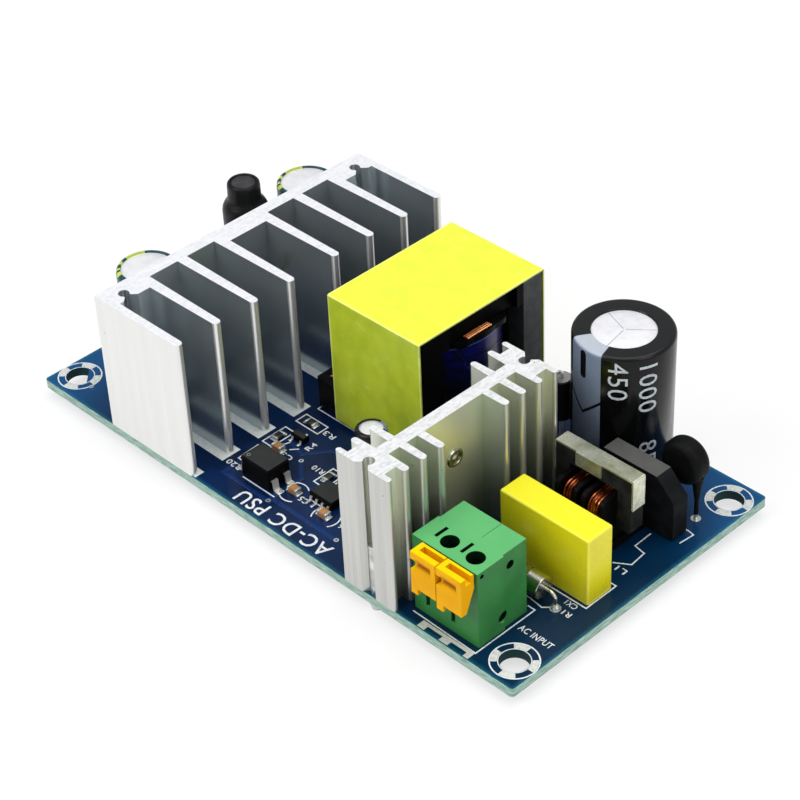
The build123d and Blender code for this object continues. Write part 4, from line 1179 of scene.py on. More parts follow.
@dataclass
class Board:
    """The circuit board with its print, its pads and its covered tracks."""

    dresser: Dresser
    line: float = 0.22
    boldness: float = 0.012
    track: float = 0.015
    pad: float = 0.035
    fixing_x: float = 49.75
    fixing_y: float = 24.0
    hole_radius: float = 2.3
    ring_radius: float = 3.75
    fin_pitch: Point = (4.8, 12.47, 20.13)
    comb_teeth: tuple[Spot, ...] = ((34.4, 35.8), (38.8, 40.5), (43.6, 44.6))

    def build(self) -> None:
        """Builds every layer of the board."""
        self.dresser.wear(SolderMask(), "circuit_board")
        self._rings()
        self._outlines()
        self._fields()
        self._lettering()
        self._tracks()
        self._pads()

    def _rings(self) -> None:
        """Prints the two fine circles and four pale fields around each fixing hole."""
        rings, fields = Piece("print_fixing_rings"), Piece("print_fixing_fields")
        levels = (BOARD_TOP, INK_TOP)
        hole, outer = self.hole_radius, self.ring_radius
        for side in (-1, 1):
            for end in (-1, 1):
                centre = (side * self.fixing_x, end * self.fixing_y)
                rings.ring(centre, outer - 0.22, outer, *levels)
                rings.ring(centre, hole + 0.06, hole + 0.2, *levels)
                for start in range(1, 360, 90):
                    spread = {"steps": 8, "start": start, "sweep": 44}
                    fields.ring(centre, hole + 0.24, outer - 0.26, *levels, **spread)
        rings.finish(INK, Slot.PRINT)
        fields.finish(PrintInk((214, 218, 212), (190, 196, 192)), Slot.PRINT)

    def _outlines(self) -> None:
        """Prints the outlines of the parts."""
        piece = Piece("print_outlines")
        levels = (BOARD_TOP, INK_TOP)
        for points in OUTLINES:
            piece.stroke(points, self.line, *levels)
        for x, y, start in ARCS:
            piece.ring((x, y), 2.2, 2.2 + self.line, *levels, steps=12, start=start, sweep=80)
        for x, y, radius in CIRCLES:
            piece.ring((x, y), radius, radius + self.line, *levels, steps=64)
        bulk_spread = {"steps": 56, "start": 115, "sweep": 310}
        piece.ring((31.0, 20.4), 8.5, 8.5 + self.line, *levels, **bulk_spread)
        piece.finish(INK, Slot.PRINT)

    def _fields(self) -> None:
        """Prints the filled fields: a bar beside each big fin, and the terminal's comb."""
        bars = Piece("print_fin_bars")
        spans = [(y - 2.45, y + 1.38) for fin in self.fin_pitch for y in (-fin, fin)]
        for low, high in (*spans, (-28.25, -26.42), (25.35, 28.25)):
            bars.box((-32.0, low, BOARD_TOP), (-15.05, high, INK_TOP))
        bars.finish(PrintInk((226, 232, 230), (206, 214, 214)), Slot.PRINT)
        comb = Piece("print_comb")
        comb.box((34.4, -27.42, BOARD_TOP), (44.6, -26.84, INK_TOP))
        for left, right in self.comb_teeth:
            comb.box((left, -28.3, BOARD_TOP), (right, -27.42, INK_TOP - RUN_LIFT))
        comb.finish(PrintInk((206, 208, 198), (186, 188, 178)), Slot.PRINT)

    def _lettering(self) -> None:
        """Prints the plain words and the plain part labels."""
        piece = Piece("print_lettering")
        for text, size, spot, turn, length in WORDS:
            piece.text(text, size, (*spot, BOARD_TOP), turn, length, self.boldness)
        piece.finish(INK, Slot.PRINT)

    def _tracks(self) -> None:
        """Lays the copper that shows as raised bands under the lacquer, above and below."""
        upper, lower = Piece("tracks_upper"), Piece("tracks_lower")
        for points, width in TRACKS:
            upper.stroke(points, width, BOARD_TOP, BOARD_TOP + self.track)
        for outline in COPPER_FIELDS:
            lower.prism(outline, -0.02, 0.0)
        lacquer = SolderMask((13, 50, 108), (10, 40, 92))
        upper.finish(lacquer, Slot.BOARD)
        lower.finish(lacquer, Slot.BOARD)

    def _pads(self) -> None:
        """Adds the bare tinned pads that show beside parts, and small plated crossings."""
        piece = Piece("pads_upper")
        levels = (BOARD_TOP, BOARD_TOP + self.pad)
        for x, y, inner, outer in PADS:
            piece.ring((x, y), inner, outer, *levels, steps=32)
        for spot in CROSSINGS:
            piece.ring(spot, 0.18, 0.42, *levels, steps=20)
        piece.finish(SOLDER, Slot.SOLDER)


@dataclass
class Heatsinks:
    """Both extruded coolers with the packages and screws on them."""

    dresser: Dresser
    screw_end: Point = (25.7, -10.95, 17.7)

    def build(self) -> None:
        """Dresses the coolers and what is clamped to them."""
        wear = self.dresser.wear
        # Painted shade between the fins, inside the pocket block.
        wear(Extrusion((((-35.6, -27.6, 1.0), (-16.1, 27.4, 29)),)), "output_heatsink")
        # The primary cooler: the same aluminium painted darker, as painted shade, with deeper painted
        # shade in its two pocket blocks.
        dull = Extrusion(
            (((25.2, -27.9, 1), (29.8, 6.1, 29)), ((19.7, -27.9, 1), (23.9, 6.1, 29))),
            (206, 206, 202),
            (182, 183, 180),
            (240, 241, 242),
            (216, 218, 220),
            painted_pale_tone=(222, 226, 212),
            deep=(146, 154, 146),
            polish=-0.12,
        )
        wear(dull, "primary_heatsink")
        pins = ("output_heatsink_pins", "primary_heatsink_pins", "transformer_pins", "filter_pins")
        wear(TIN, *pins)
        packages = (
            ((-39.95, -5.2, 5.9), (-37.0, 5.2, 21.5)),
            ((18.85, -16.2, 5.9), (22.0, -5.8, 21.5)),
        )
        plastic = Moulding((34, 34, 36), (24, 24, 26), 0.5, 0.18, 0.02, bodies=packages)
        wear(plastic, "switching_transistor", "output_rectifier")
        wear(Metal((214, 208, 176), (166, 156, 112)), "clamp_screws")
        nut = Piece("screw_end_ring")
        rim = [(1.0, -0.05), (1.62, -0.05), (1.62, 0.1), (1.45, 0.26), (1.12, 0.26), (1.0, 0.16)]
        nut.lathe(rim, (0, 0), 32)
        nut.lathe([(0, -0.05), (0.72, -0.05), (0.66, 0.12), (0.4, 0.26), (0, 0.3)], (0, 0), 24)
        nut.lay_along_x(self.screw_end)
        nut.finish(Metal((200, 200, 190), (140, 138, 120), 0.24), Slot.TINNED)


@dataclass
class Transformer:
    """The taped transformer with its winding tails."""

    dresser: Dresser
    centre: Spot = (1.35, 10.15)
    flange_low: float = 7.65
    flange_high: float = 21.75
    coil_radius: float = 10.2
    wire: float = 0.19

    def build(self) -> None:
        """Dresses the cores, tape, form and winding, and adds the tails."""
        x, y = self.centre
        # Painted shade: the core's openings between its outer legs are painted near black.
        shaded_core_openings = tuple(
            ((x + side - 1.9, y - 14, 2.5), (x + side + 1.9, y + 9.0, 27)) for side in (-8.8, 8.8)
        )
        wear = self.dresser.wear
        ferrite = Moulding(
            (74, 77, 78), (86, 89, 90), 0.5, 0.12, 0.03, 0.04, patches=shaded_core_openings, patch=(8, 9, 10)
        )
        wear(ferrite, "transformer_upper_core", "transformer_lower_core")
        dark_ferrite = Moulding((30, 31, 31), (42, 43, 43), 0.5, 0.12, 0.03, 0.03)
        wear(dark_ferrite, "filter_core_left", "filter_core_right")
        form = Moulding((8, 8, 9), (13, 13, 14), 0.38, 0.3, shine=0.06)
        wear(form, "transformer_bobbin", "filter_bobbin")
        low, high = (tuple(value / MM for value in corner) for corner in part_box("transformer_tape"))
        # The tape's sides take painted shade, partly for the see-through tape over the dark core, and
        # its edges a painted highlight.
        wear(Film((241, 247, 62), (178, 198, 36), (low, high)), "transformer_tape")
        wear(LappedTape(self.centre, self.flange_high), "transformer_winding")
        self._tails()

    def _tails(self) -> None:
        """Adds the enamelled wire ends that leave the winding towards the pins."""
        piece = Piece("winding_tails")
        x, y = self.centre
        low = self.flange_low
        rng = random.Random(SEED)
        for side in (-1, 1):
            for row in range(6):
                offset = (row - 2.5) * 2.2
                base = math.sqrt(self.coil_radius**2 - offset**2)
                pin_x, pin_y = x + side * 13.5, -1.1 + row * 4.5
                bow = rng.uniform(-0.4, 0.4)
                route = [
                    (x + side * (base - 0.3), y + offset, low + 0.6 + bow * 0.4),
                    (x + side * (base + 0.9), y + offset + bow, low + 1.1),
                    (x + side * 11.3, (y + offset + pin_y) / 2, low + 0.75),
                    (pin_x - side * 0.7, pin_y, low + 0.55),
                    (pin_x, pin_y, low + 0.35),
                ]
                piece.wire(route, self.wire)
        top = self.flange_high + 0.9
        for row in range(3):
            reach = x + 9.3 + row * 0.42
            ends = ((reach, y - 3.6, 0.17), (reach, y - 1.0, 0.2), (reach + 0.1, y + 1.6, 0.17))
            piece.wire([(a, b, top + rise) for a, b, rise in ends], self.wire)
        piece.finish(Metal((250, 176, 118), (214, 122, 70), 0.3), Slot.COPPER)


@dataclass
class CanCapacitor:
    """A wet can capacitor: shrunk sleeve with a stripe, bare scored lid, rubber foot and leads."""

    node: str
    slot: Slot
    centre: Spot
    radius: float
    height: float
    leads: tuple[Spot, ...]
    sleeve: Sleeve
    lid_radius: float
    scores: int = 0
    score_turn: float = 40.0
    words: tuple[tuple[str, float, float, float], ...] = ()
    word_size: float = 3.0

    def build(self) -> None:
        """Builds sleeve, lid, leads and numbers in place of the node."""
        sleeve = Piece(self.node + "_sleeve")
        sleeve.lathe(self._profile(), self.centre, steps=96)
        sleeve.finish(self.sleeve, self.slot, replaces=(self.node,))
        self._lid(BOARD_TOP + self.height - 0.3)
        leads = Piece(self.node + "_leads")
        for spot in self.leads:
            leads.rod(spot, 0.3, BOARD_TOP + 0.4)
        leads.finish(TIN, Slot.TINNED)
        if self.words:
            printed = Piece(self.node + "_numbers")
            for text, *place in self.words:
                printed.wrap_text(text, self.word_size, self.centre, self.radius - 0.015, *place)
            printed.finish(PrintInk((196, 206, 212), (150, 162, 172)), Slot.PRINT)

    def _profile(self) -> list[Spot]:
        """Draws the sleeve's half section: turned-in foot, rolled bead, and rim round the lid.

        Returns:
            Its points as radius and height.
        """
        low, high, r, lid = BOARD_TOP, BOARD_TOP + self.height, self.radius, self.lid_radius
        bead = low + 0.12 * self.height
        floor = high - 0.3 - 0.1
        foot = [(0, low + 0.25), (r - 1.2, low + 0.25), (r - 1.0, low), (r - 0.5, low)]
        foot += [(r - 0.12, low + 0.14), (r, low + 0.5)]
        steps = ((0, -0.55), (0.14, -0.3), (0.34, -0.05), (0.34, 0.05), (0.14, 0.3), (0, 0.55))
        groove = [(r - inward, bead + rise) for inward, rise in steps]
        falls = ((0, 0.75), (0.05, 0.45), (0.2, 0.18), (0.45, 0.03), (0.7, 0))
        shoulder = [(r - inward, high - fall) for inward, fall in falls]
        rim = [(lid + 0.12, high - 0.04), (lid, high - 0.14), (lid, floor), (0, floor)]
        return foot + groove + shoulder + rim

    def _lid(self, level: float) -> None:
        """Adds the bare lid with its pressed score lines.

        Args:
            level: the height of the lid.
        """
        lid = Piece(self.node + "_lid")
        r, top = self.lid_radius - 0.01, level + 0.02
        disc = [(0, level - 0.09), (r, level - 0.09), (r, level - 0.02), (r - 0.12, top), (0, top)]
        lid.lathe(disc, self.centre, 64)
        lid.finish(Metal((248, 248, 252), (234, 235, 240), 0.4, 0.3, (1, 6, 1)), Slot.TINNED)
        if not self.scores:
            return
        score = Piece(self.node + "_lid_scores")
        for n in range(self.scores):
            turn = 360 / self.scores * n + self.score_turn
            far = (r * 0.97, 0.06, level + 0.04)
            score.box((0.25, -0.06, top), far, turn=turn, pivot=self.centre)
        score.finish(Metal((176, 178, 184), (150, 152, 158), 0.5, 0.3), Slot.TINNED)


@dataclass
class OutputChoke:
    """A rod choke in black shrink sleeve with its bare end showing in the mouth."""

    centre: Spot = (-44.6, 10.5)
    body: float = 3.95
    neck: float = 2.85
    shoulder: float = 22.5
    height: float = 26.0

    def build(self) -> None:
        """Builds sleeve, rod end and leads in place of the node."""
        low, top = BOARD_TOP, self.height
        sleeve = Piece("output_choke_sleeve")
        sleeve.lathe(self._profile(), self.centre, steps=72)
        shrink = Moulding((14, 14, 15), (20, 20, 22), 0.36, 0.5, 0.05, 0.2)
        sleeve.finish(shrink, Slot.SHRINK, replaces=("output_choke",), sharp=50)
        rod = Piece("output_choke_rod_end")
        r = self.neck - 0.8
        end = [(0, top - 0.39), (r, top - 0.39), (r, top - 0.26), (r - 0.15, top - 0.16)]
        rod.lathe([*end, (0, top - 0.16)], self.centre, 48)
        rod.finish(Moulding((62, 62, 66), (48, 48, 52), 0.6, 0.1, 0.04, 0.3), Slot.SHRINK)
        leads = Piece("output_choke_leads")
        for side in (-2.5, 2.5):
            leads.rod((self.centre[0], self.centre[1] + side), 0.45, low + 0.35)
        leads.finish(TIN, Slot.TINNED)

    def _profile(self) -> list[Spot]:
        """Draws the sleeve's half section: foot, long body, shoulder and open neck.

        Returns:
            Its points as radius and height.
        """
        low, top, r, neck, step = BOARD_TOP, self.height, self.body, self.neck, self.shoulder
        foot = [(0, low + 0.2), (r - 0.9, low + 0.2), (r - 0.6, low), (r - 0.15, low + 0.15)]
        side = [(r, low + 0.6), (r - 0.05, (low + step) / 2), (r, step - 1.9)]
        slope = [(r - 0.12, step - 1.2), (r - 0.45, step - 0.5)]
        slope += [(neck + 0.2, step + 0.05), (neck, step + 0.6)]
        falls = ((0.04, 0.9), (0.1, 0.35), (0.35, 0.05), (0.6, 0), (0.75, 0.12), (0.78, 0.4))
        mouth = [(neck - inward, top - fall) for inward, fall in falls]
        return foot + side + slope + mouth + [(0, top - 0.4)]


@dataclass
class LineFilter:
    """The filter's two wire coils and their ends, in place of the plain coils."""

    dresser: Dresser
    leg_y: float = 5.85
    leg_z: float = 6.55
    half: float = 4.3
    corner: float = 2.2
    wire: float = 0.235
    spans: tuple[Spot, ...] = ((35.55, 37.75), (40.35, 42.5))
    ends: tuple[Spot, ...] = ((35.45, 34.575), (42.85, 43.725))

    def build(self) -> None:
        """Builds the coils and dresses the clamp."""
        piece = Piece("filter_wire_turns")
        y, z, wire = self.leg_y, self.leg_z, self.wire
        rng = random.Random(SEED + 1)
        reach = self.half - wire
        core = self.half - 2.2 * wire
        loop = self._loop(reach)
        for low, high in self.spans:
            piece.box((low + 0.05, y - core, z - core), (high - 0.05, y + core, z + core), 1.6)
            count = int((high - low) / (2 * wire))
            for turn in range(count):
                x = low + wire + turn * (high - low - 2 * wire) / (count - 1)
                lean = rng.uniform(-0.1, 0.1)
                swell = 1 - rng.uniform(0, 0.02)
                route = [(x + lean * b / reach, y + a * swell, z + b * swell) for a, b in loop]
                piece.wire(route, wire, loop=True)
        for x, pin_x in self.ends:
            for side in (-1, 1):
                start = [(x, y + side * 3.0, z - 4.2), (x, y + side * 3.6, z - 4.35)]
                pin = [(pin_x, y + side * 3.8, level) for level in (3.75, 3.3)]
                piece.wire(start + pin, wire * 0.9)
        copper = Metal((206, 116, 72), (112, 56, 34), 0.3, grain=0.25)
        piece.finish(copper, Slot.COPPER, replaces=("filter_windings",))
        nickel = Metal((234, 236, 214), (180, 184, 152), 0.3, 0.8, (1, 8, 1), 0.4)
        self.dresser.wear(nickel, "filter_clamp")

    def _loop(self, reach: float) -> list[Spot]:
        """Leads one square turn with round corners.

        Args:
            reach: how far the wire's middle lies from the leg's middle.

        Returns:
            The leading points.
        """
        flat = reach - self.corner * 0.45
        points = []
        for quarter in range(4):
            turn = Matrix.Rotation(math.pi / 2 * quarter, 2)
            spots = (turn @ Vector((reach, along)) for along in (-flat, 0.0, flat))
            points += [(spot.x, spot.y) for spot in spots]
        return points


@dataclass
class FuseExtras:
    """The fuse's finishes and the solder that climbs its leads."""

    dresser: Dresser
    leads: tuple[Spot, ...] = ((46.6, -12.0), (31.8, -12.0))

    def build(self) -> None:
        """Dresses the fuse and adds the solder."""
        wear = self.dresser.wear
        wear(Glass(), "fuse_tube")
        wear(Metal((220, 218, 208), (176, 172, 158), 0.16, lines=(6, 1, 1)), "fuse_caps")
        wear(TIN, "fuse_wire")
        piece = Piece("lead_solder_upper")
        climb = ((0.78, 1.62), (0.74, 1.8), (0.6, 2.05), (0.42, 2.3), (0.33, 2.5), (0.31, 2.5))
        for spot in self.leads:
            piece.lathe([(0.31, 1.62), *climb], spot, 28)
        piece.finish(SOLDER, Slot.SOLDER)


@dataclass
class Terminal:
    """The mains terminal's mouldings and springs."""

    dresser: Dresser
    green: Levels = (50, 128, 62)
    orange: Levels = (234, 172, 3)

    def build(self) -> None:
        """Dresses the housing, both levers and the springs."""
        wear = self.dresser.wear
        # Painted shade in the housing's holes, slots and hollows; the thin last block is a seam line
        # on the top.
        shaded_cavities_and_seam = [((x - 1.5, -24.6, 4.0), (x + 1.5, -21.6, 15.5)) for x in (36.52, 41.6)]
        shaded_cavities_and_seam += [((x - 0.395, -25.5, 3.3), (x + 0.395, -21.1, 15.5)) for x in (34.15, 39.23)]
        shaded_cavities_and_seam += [
            ((42.2, -19.5, 12.0), (43.93, -17.8, 13.8)),
            ((42.6, -25.2, 14.2), (44.23, -24.2, 15.2)),
            ((43.0, -21.6, 3.1), (43.93, -19.4, 5.3)),
            ((39.19, -19.4, 15.55), (39.27, -15.0, 15.7)),
        ]
        # A painted sheen lightens the housing's top; the patches are painted shade.
        lit = {"upper": (96, 184, 112), "patches": tuple(shaded_cavities_and_seam), "patch": (6, 34, 16)}
        wear(Moulding(self.green, (44, 116, 56), 0.4, 0.3, 0.015, 0.3, **lit), "terminal_housing")
        # Painted shade under each lever's ledge, fading downward; the levers' tops take a painted
        # highlight.
        shaded_recesses = tuple(((x - 1.35, -28.7, 13.35), (x + 1.35, -27.7, 14.6)) for x in (36.32, 41.4))
        lit = {"upper": (255, 214, 6), "patches": shaded_recesses, "patch": (150, 74, 2), "fade": 0.45}
        lever = Moulding(self.orange, (227, 162, 2), 0.4, 0.3, 0.012, 0.05, **lit)
        wear(lever, "terminal_lever_1", "terminal_lever_2")
        brass = Metal((206, 190, 140), (150, 134, 92), 0.25)
        wear(brass, "terminal_contacts", "output_header_pins")
        wear(Moulding((236, 234, 224), (226, 224, 212), 0.42, 0.3), "output_header")


@dataclass
class SmallParts:
    """The moulded packages, the box capacitor and the chip parts."""

    dresser: Dresser
    chip_length: float = 2.0
    chip_width: float = 1.25

    def build(self) -> None:
        """Dresses the packages and builds the chip parts."""
        wear = self.dresser.wear
        case = ((32.0, -8.6, 1.55), (50, -2.9, 14))
        # Painted highlight: a pale line along the edges of this block, and a lighter top.
        painted_edge_highlight = ((32.2, -8.4, 1.6), (49.7, -3.1, 13.8))
        lit = {"bodies": (case,), "upper": (246, 238, 40), "edged": painted_edge_highlight}
        lemon = Moulding((230, 222, 22), (222, 212, 18), 0.3, 0.35, 0.015, 0.4, **lit)
        wear(lemon, "interference_capacitor")
        # The bridge's top is painted lighter as a painted highlight.
        lit = {"bodies": (((35.5, 10.5, 1.78), (49.8, 14, 12.6)),), "upper": (92, 93, 90)}
        bridge = Moulding((32, 33, 36), (22, 23, 25), 0.55, 0.16, 0.03, 0.03, **lit)
        wear(bridge, "bridge_rectifier")
        disc = (((41.8, 15.2, 2.6), (50.6, 19.4, 16.0)),)
        wear(Moulding((9, 10, 10), (14, 15, 15), 0.5, 0.5, 0.08, 0.1, disc), "thermistor")
        tube = (((18.1, 16.7, 5.6), (21.9, 20.5, 13.2)),)
        wear(Moulding((16, 16, 18), (24, 24, 26), 0.4, 0.2, 0.01, 0.3, tube), "snubber_diode")
        packages = (
            ((-10.33, -22.8, 1.9), (-3.67, -18.0, 5.6)),
            ((1.8, -19.43, 1.62), (7.0, -15.37, 3.3)),
            ((-11.5, -11.21, 1.62), (-8.3, -9.79, 2.9)),
        )
        # The packages' tops are painted lighter as a painted highlight.
        lit = {"bodies": packages, "upper": (54, 56, 56)}
        black = Moulding((13, 13, 14), (9, 9, 10), 0.5, 0.14, 0.02, 0.03, **lit)
        wear(black, "optocoupler", "controller_chip", "shunt_regulator")
        self._index_marks()
        self._wedges()
        resistors = [(-11.5, -6.6, 0), (-13.0, -12.4, 90), (0.6, -14.1, 90)]
        capacitors = [(-10.5, -14.7, 0), (-0.8, -20.1, 0), (6.8, -20.9, 0)]
        film = Moulding((34, 34, 38), (46, 46, 50), 0.3, 0.2, 0.01)
        tan = Moulding((178, 128, 78), (156, 108, 62), 0.45, 0.2, 0.02)
        self._chips("chip_resistors", resistors, 0.5, film, Slot.CHIP_BLACK)
        self._chips("chip_capacitors", capacitors, 1.1, tan, Slot.CHIP_TAN)

    def _index_marks(self) -> None:
        """Adds the pin-one dots of the moulded packages."""
        piece = Piece("index_marks")
        for x, y, z in ((-9.3, -21.7, 5.485), (2.7, -18.6, 3.06)):
            piece.ring((x, y), 0.2, 0.34, z, z + 0.02, steps=24)
        piece.finish(PrintInk((120, 120, 122), (90, 90, 92)), Slot.PRINT)

    def _wedges(self) -> None:
        """Adds the solder that climbs the feet of the moulded packages."""
        piece = Piece("solder_wedges")
        feet = [(x, y, 0.5, 0.65) for x in (-11.55, -2.45) for y in (-21.67, -19.13)]
        chip_feet = (2.495, 3.765, 5.035, 6.305)
        feet += [(x, y, 0.24, 0.4) for x in chip_feet for y in (-20.5, -14.3)]
        feet += [(x, y, 0.26, 0.38) for x, y in ((-10.85, -11.75), (-8.95, -11.75), (-9.9, -9.25))]
        for x, y, half_x, half_y in feet:
            low = (x - half_x, y - half_y, BOARD_TOP)
            piece.box(low, (x + half_x, y + half_y, BOARD_TOP + 0.24), 0.11)
        piece.finish(SOLDER, Slot.SOLDER)

    def _chips(
        self, node: str, places: list[Point], height: float, look: Finish, slot: Slot
    ) -> None:
        """Builds bodies, metal ends and solder for one kind of chip part.

        Args:
            node: the node that they stand for.
            places: x, y and turn of each.
            height: how tall the part is.
            look: what the body is made of.
            slot: the record's slot of the body.
        """
        bodies, ends = Piece(node + "_bodies"), Piece(node + "_ends")
        low = BOARD_TOP + 0.05
        top, climb = low + height, BOARD_TOP + height * 0.35
        half, wide = self.chip_length / 2, self.chip_width / 2
        for x, y, turn in places:
            bodies.box((-half + 0.3, -wide, low), (half - 0.3, wide, top), 0.04, turn, (x, y))
            for side in (turn, turn + 180):
                cap = ((half - 0.38, -wide - 0.03, low - 0.03), (half, wide + 0.03, top + 0.03))
                ends.box(*cap, 0.07, side, (x, y))
                joint = ((half - 0.02, -wide - 0.05, BOARD_TOP), (half + 0.36, wide + 0.05, climb))
                ends.box(*joint, 0.12, side, (x, y))
        bodies.finish(look, slot, replaces=(node,))
        ends.finish(SOLDER, Slot.SOLDER)


@dataclass
class SolderSide:
    """Hollow-sided solder joints around every lead below the board, in place of the plain cones."""

    depth: float = 1.8
    reach: float = 0.6

    def build(self) -> None:
        """Builds all joints as one piece."""
        piece = Piece("solder_fillets")
        rng = random.Random(SEED + 2)
        for x, y, radius in self._leads():
            foot = radius + self.reach
            drop = self.depth * rng.uniform(0.94, 1.0)
            flank = [
                (radius + self.reach * 0.62, -0.3 * drop),
                (radius + self.reach * 0.3, -0.6 * drop),
                (radius + 0.08, -0.88 * drop),
                (radius * 0.7, -0.97 * drop),
            ]
            piece.lathe([(foot, 0.0), (foot, -0.05), *flank, (0, -drop)], (x, y), 16)
        piece.finish(SOLDER, Slot.SOLDER, replaces=("solder_joints",), sharp=60)

    @staticmethod
    def _leads() -> list[Point]:
        """Lists every lead that comes through the board.

        Returns:
            Their places and radii.
        """
        leads = [(20.8, y, 0.375) for y in (-13.49, -10.95, -8.41)]
        leads += [(-38, y, 0.375) for y in (-2.54, 0, 2.54)]
        leads += [(-32.5, y, 0.9) for y in (-24.9, 24.9)] + [(24.75, y, 0.9) for y in (-27, 5.1)]
        leads += [(x, -1.1 + n * 4.5, 0.4) for x in (-12.15, 14.85) for n in range(6)]
        leads += [(27.25, 20.4, 0.3), (34.75, 20.4, 0.3), (6.9, -11.1, 0.3), (8.9, -11.1, 0.3)]
        leads += [(x, y, 0.3) for x in (-44, -39) for y in (-13.4, 21.75)]
        leads += [(-44.6, 8, 0.45), (-44.6, 13, 0.45), (33.45, -5.75, 0.4), (48.45, -5.75, 0.4)]
        leads += [(31.8, -12, 0.3), (46.6, -12, 0.3)]
        leads += [(x, y, 0.3) for x in (34.575, 43.725) for y in (2.05, 9.65)]
        leads += [(x, 12.25, 0.45) for x in (36.935, 40.745, 44.555, 48.365)]
        leads += [(43.7, 17.3, 0.35), (48.7, 17.3, 0.35), (36.32, -20.4, 0.6), (41.4, -20.4, 0.6)]
        leads += [(-49.3, -4.18, 0.81), (-49.3, -0.22, 0.81)]
        leads += [(20, 18.6, 0.35), (20, 15.2, 0.35)]
        return leads


@dataclass
class Studio:
    """The pale floor, the soft lamps and the camera. Places are in metres, lamp powers in watts."""

    floor_level: float
    floor_half: float = 4.0
    floor_glow: float = 0.68
    world_strength: float = 0.42
    lamp_aim: Point = (0.0, 0.0, 0.01)
    lamps: tuple[tuple[str, Point, float, float], ...] = (
        ("key_lamp", (-0.22, -0.55, 0.55), 0.5, 2.8),
        ("top_lamp", (0.1, 0.1, 0.85), 0.8, 4.4),
        ("side_lamp", (0.7, 0.0, 0.4), 0.4, 1.1),
    )
    eye: Point = (0.20999898, -0.19230836, 0.22727694)
    eye_turns: Point = (52.45049655, 2.25073382, 45.42065806)
    lens: float = 102.016

    def build(self) -> None:
        """Builds the whole studio."""
        self._floor()
        self._world()
        for lamp in self.lamps:
            self._lamp(*lamp)
        self._camera()
        bpy.context.scene.view_settings.view_transform = "Standard"

    def _floor(self) -> None:
        """Lays a wide white floor, which the camera sees bright and which keeps a soft shadow."""
        mesh = bpy.data.meshes.new("studio_floor")
        shape = bmesh.new()
        level = Matrix.Translation((0, 0, self.floor_level))
        bmesh.ops.create_grid(shape, x_segments=1, y_segments=1, size=self.floor_half, matrix=level)
        shape.to_mesh(mesh)
        shape.free()
        floor = show("studio_floor", mesh)
        shader = Shader("studio_floor")
        paper = shader.blend(shader.noise(400, detail=2), (246, 246, 246), (250, 250, 250))
        shader.set(Base_Color=paper, Roughness=0.9)
        rays = shader.node("ShaderNodeLightPath").outputs
        names = ("Is Camera Ray", "Is Transmission Ray", "Is Glossy Ray")
        camera, clear, glossy = (Field(shader, rays[name]) for name in names)
        shown = camera.most(clear).most(glossy) * self.floor_glow
        white = shader.node("ShaderNodeEmission", None, {"Color": (1, 1, 1, 1), "Strength": 1.0})
        inputs = {0: shown, 1: shader.surface.outputs[0], 2: white.outputs[0]}
        mix = shader.node("ShaderNodeMixShader", None, inputs)
        shader.feed(shader.tree.nodes["Material Output"].inputs["Surface"], mix.outputs[0])
        mesh.materials.append(shader.material)
        floor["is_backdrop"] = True

    def _world(self) -> None:
        """Surrounds the object with an even light, which the camera sees paler."""
        world = bpy.data.worlds.new("studio")
        bpy.context.scene.world = world
        world.use_nodes = True
        nodes = Nodes(world.node_tree)
        nodes.tree.nodes.clear()
        even = {"Color": (1, 1, 1, 1), "Strength": self.world_strength}
        light = nodes.node("ShaderNodeBackground", None, even)
        pale = nodes.node("ShaderNodeBackground")
        seen = nodes.node("ShaderNodeLightPath").outputs["Is Camera Ray"]
        inputs = {0: seen, 1: light.outputs[0], 2: pale.outputs[0]}
        mix = nodes.node("ShaderNodeMixShader", None, inputs)
        nodes.node("ShaderNodeOutputWorld", None, {"Surface": mix.outputs[0]})

    def _lamp(self, name: str, place: Point, size: float, power: float) -> None:
        """Adds a square soft lamp of that size and power that looks at the board.

        Args:
            name: the lamp's name.
            place: where it hangs.
            size: the side of its square.
            power: its output.
        """
        lamp = bpy.data.lights.new(name, "AREA")
        lamp.shape, lamp.size, lamp.energy = "SQUARE", size, power
        holder = show(name, lamp)
        holder.location = place
        aim = Vector(self.lamp_aim) - Vector(place)
        holder.rotation_euler = aim.to_track_quat("-Z", "Y").to_euler()

    def _camera(self) -> None:
        """Sets the camera at the photograph's viewing angle."""
        lens = bpy.data.cameras.new("view")
        lens.sensor_width, lens.lens = 36.0, self.lens
        lens.clip_start, lens.clip_end = 0.01, 20.0
        camera = show("view", lens)
        camera.location = self.eye
        camera.rotation_euler = Euler([math.radians(turn) for turn in self.eye_turns], "XYZ")
        bpy.context.scene.camera = camera


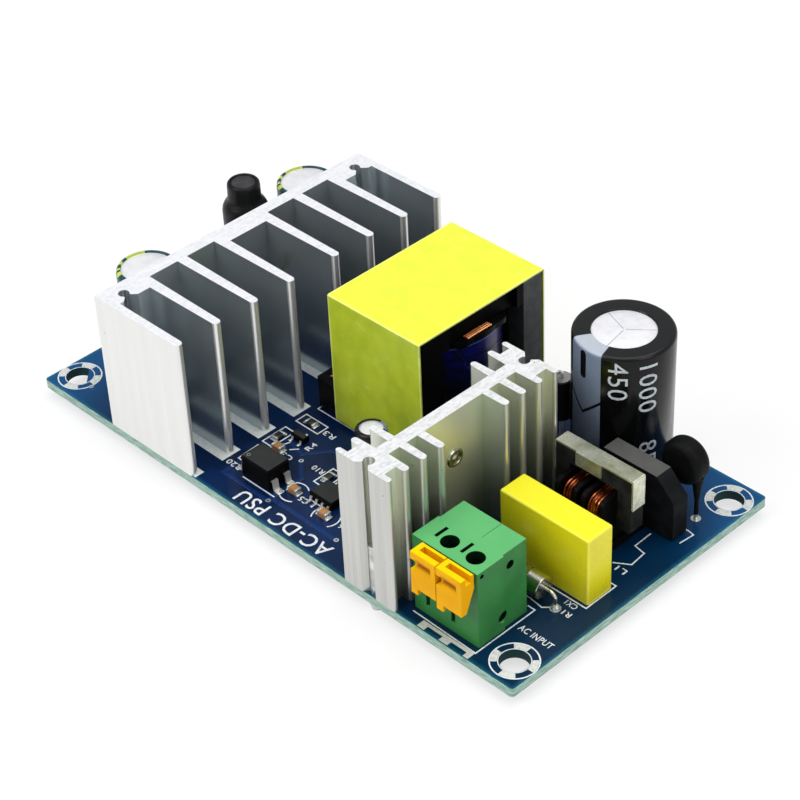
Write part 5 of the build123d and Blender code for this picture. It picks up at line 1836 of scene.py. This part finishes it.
def capacitors() -> list[CanCapacitor]:
    """Lists the four can capacitors with their own sizes and sleeves.

    Returns:
        The capacitors, ready to build.
    """
    black, grey = (10, 11, 12), (122, 136, 158)
    teal, lime = (20, 70, 76), (206, 220, 84)
    bulk, bias = (31.0, 20.4), (7.9, -11.1)
    stripe_mark = ((-98.5, 24.0, 0.62, 2.5),)
    # The bulk sleeve's upward faces take a strong painted sheen.
    bulk_sleeve = Sleeve(
        bulk, 8.0, black, grey, -98.3, 23.8, stripe_mark, (15.1, 0.9), painted_top_sheen=0.45
    )
    numbers = (("1000", -32.0, 26.2, 8.6), ("450", -66.0, 26.2, 6.8), ("85", -30.0, 11.0, 4.2))
    leads = ((27.25, 20.4), (34.75, 20.4))
    slot = Slot.SLEEVE_BLACK
    made = [
        CanCapacitor(
            "bulk_capacitor", slot, bulk, 8.0, 25.4, leads, bulk_sleeve, 5.05, 3, words=numbers
        )
    ]
    dashes = ((-150, 0.5), (-128, 0.3), (-112, 0.55))
    marks = tuple((angle, 22.1, wide, 0.5) for angle, wide in dashes)
    for number, y in enumerate((-13.4, 21.75), 1):
        centre, leads = (-41.5, y), ((-44.0, y), (-39.0, y))
        sleeve = Sleeve(centre, 5.15, teal, lime, 168.0, 22.0, marks)
        name = f"output_capacitor_{number}"
        made.append(CanCapacitor(name, Slot.SLEEVE_TEAL, centre, 5.15, 20.6, leads, sleeve, 4.4))
    sleeve = Sleeve(bias, 2.6, black, grey, 60.0, 30.0)
    leads = ((6.9, -11.1), (8.9, -11.1))
    made.append(CanCapacitor("bias_capacitor", slot, bias, 2.6, 12.4, leads, sleeve, 2.05))
    return made


def box_now() -> list[list[float]]:
    """Returns the shown model's lowest and highest corner in metres."""
    return [[float(value) for value in corner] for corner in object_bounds()]


def main() -> None:
    """Builds every assembly in order."""
    logging.basicConfig(level=logging.INFO, format="%(message)s")
    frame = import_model()
    cad_box = box_now()
    dresser = Dresser(frame["nodes"])
    Board(dresser).build()
    Heatsinks(dresser).build()
    Transformer(dresser).build()
    for capacitor in capacitors():
        capacitor.build()
    OutputChoke().build()
    LineFilter(dresser).build()
    FuseExtras(dresser).build()
    Terminal(dresser).build()
    SmallParts(dresser).build()
    SolderSide().build()
    Studio(cad_box[0][2]).build()


if __name__ == "__main__":
    main()
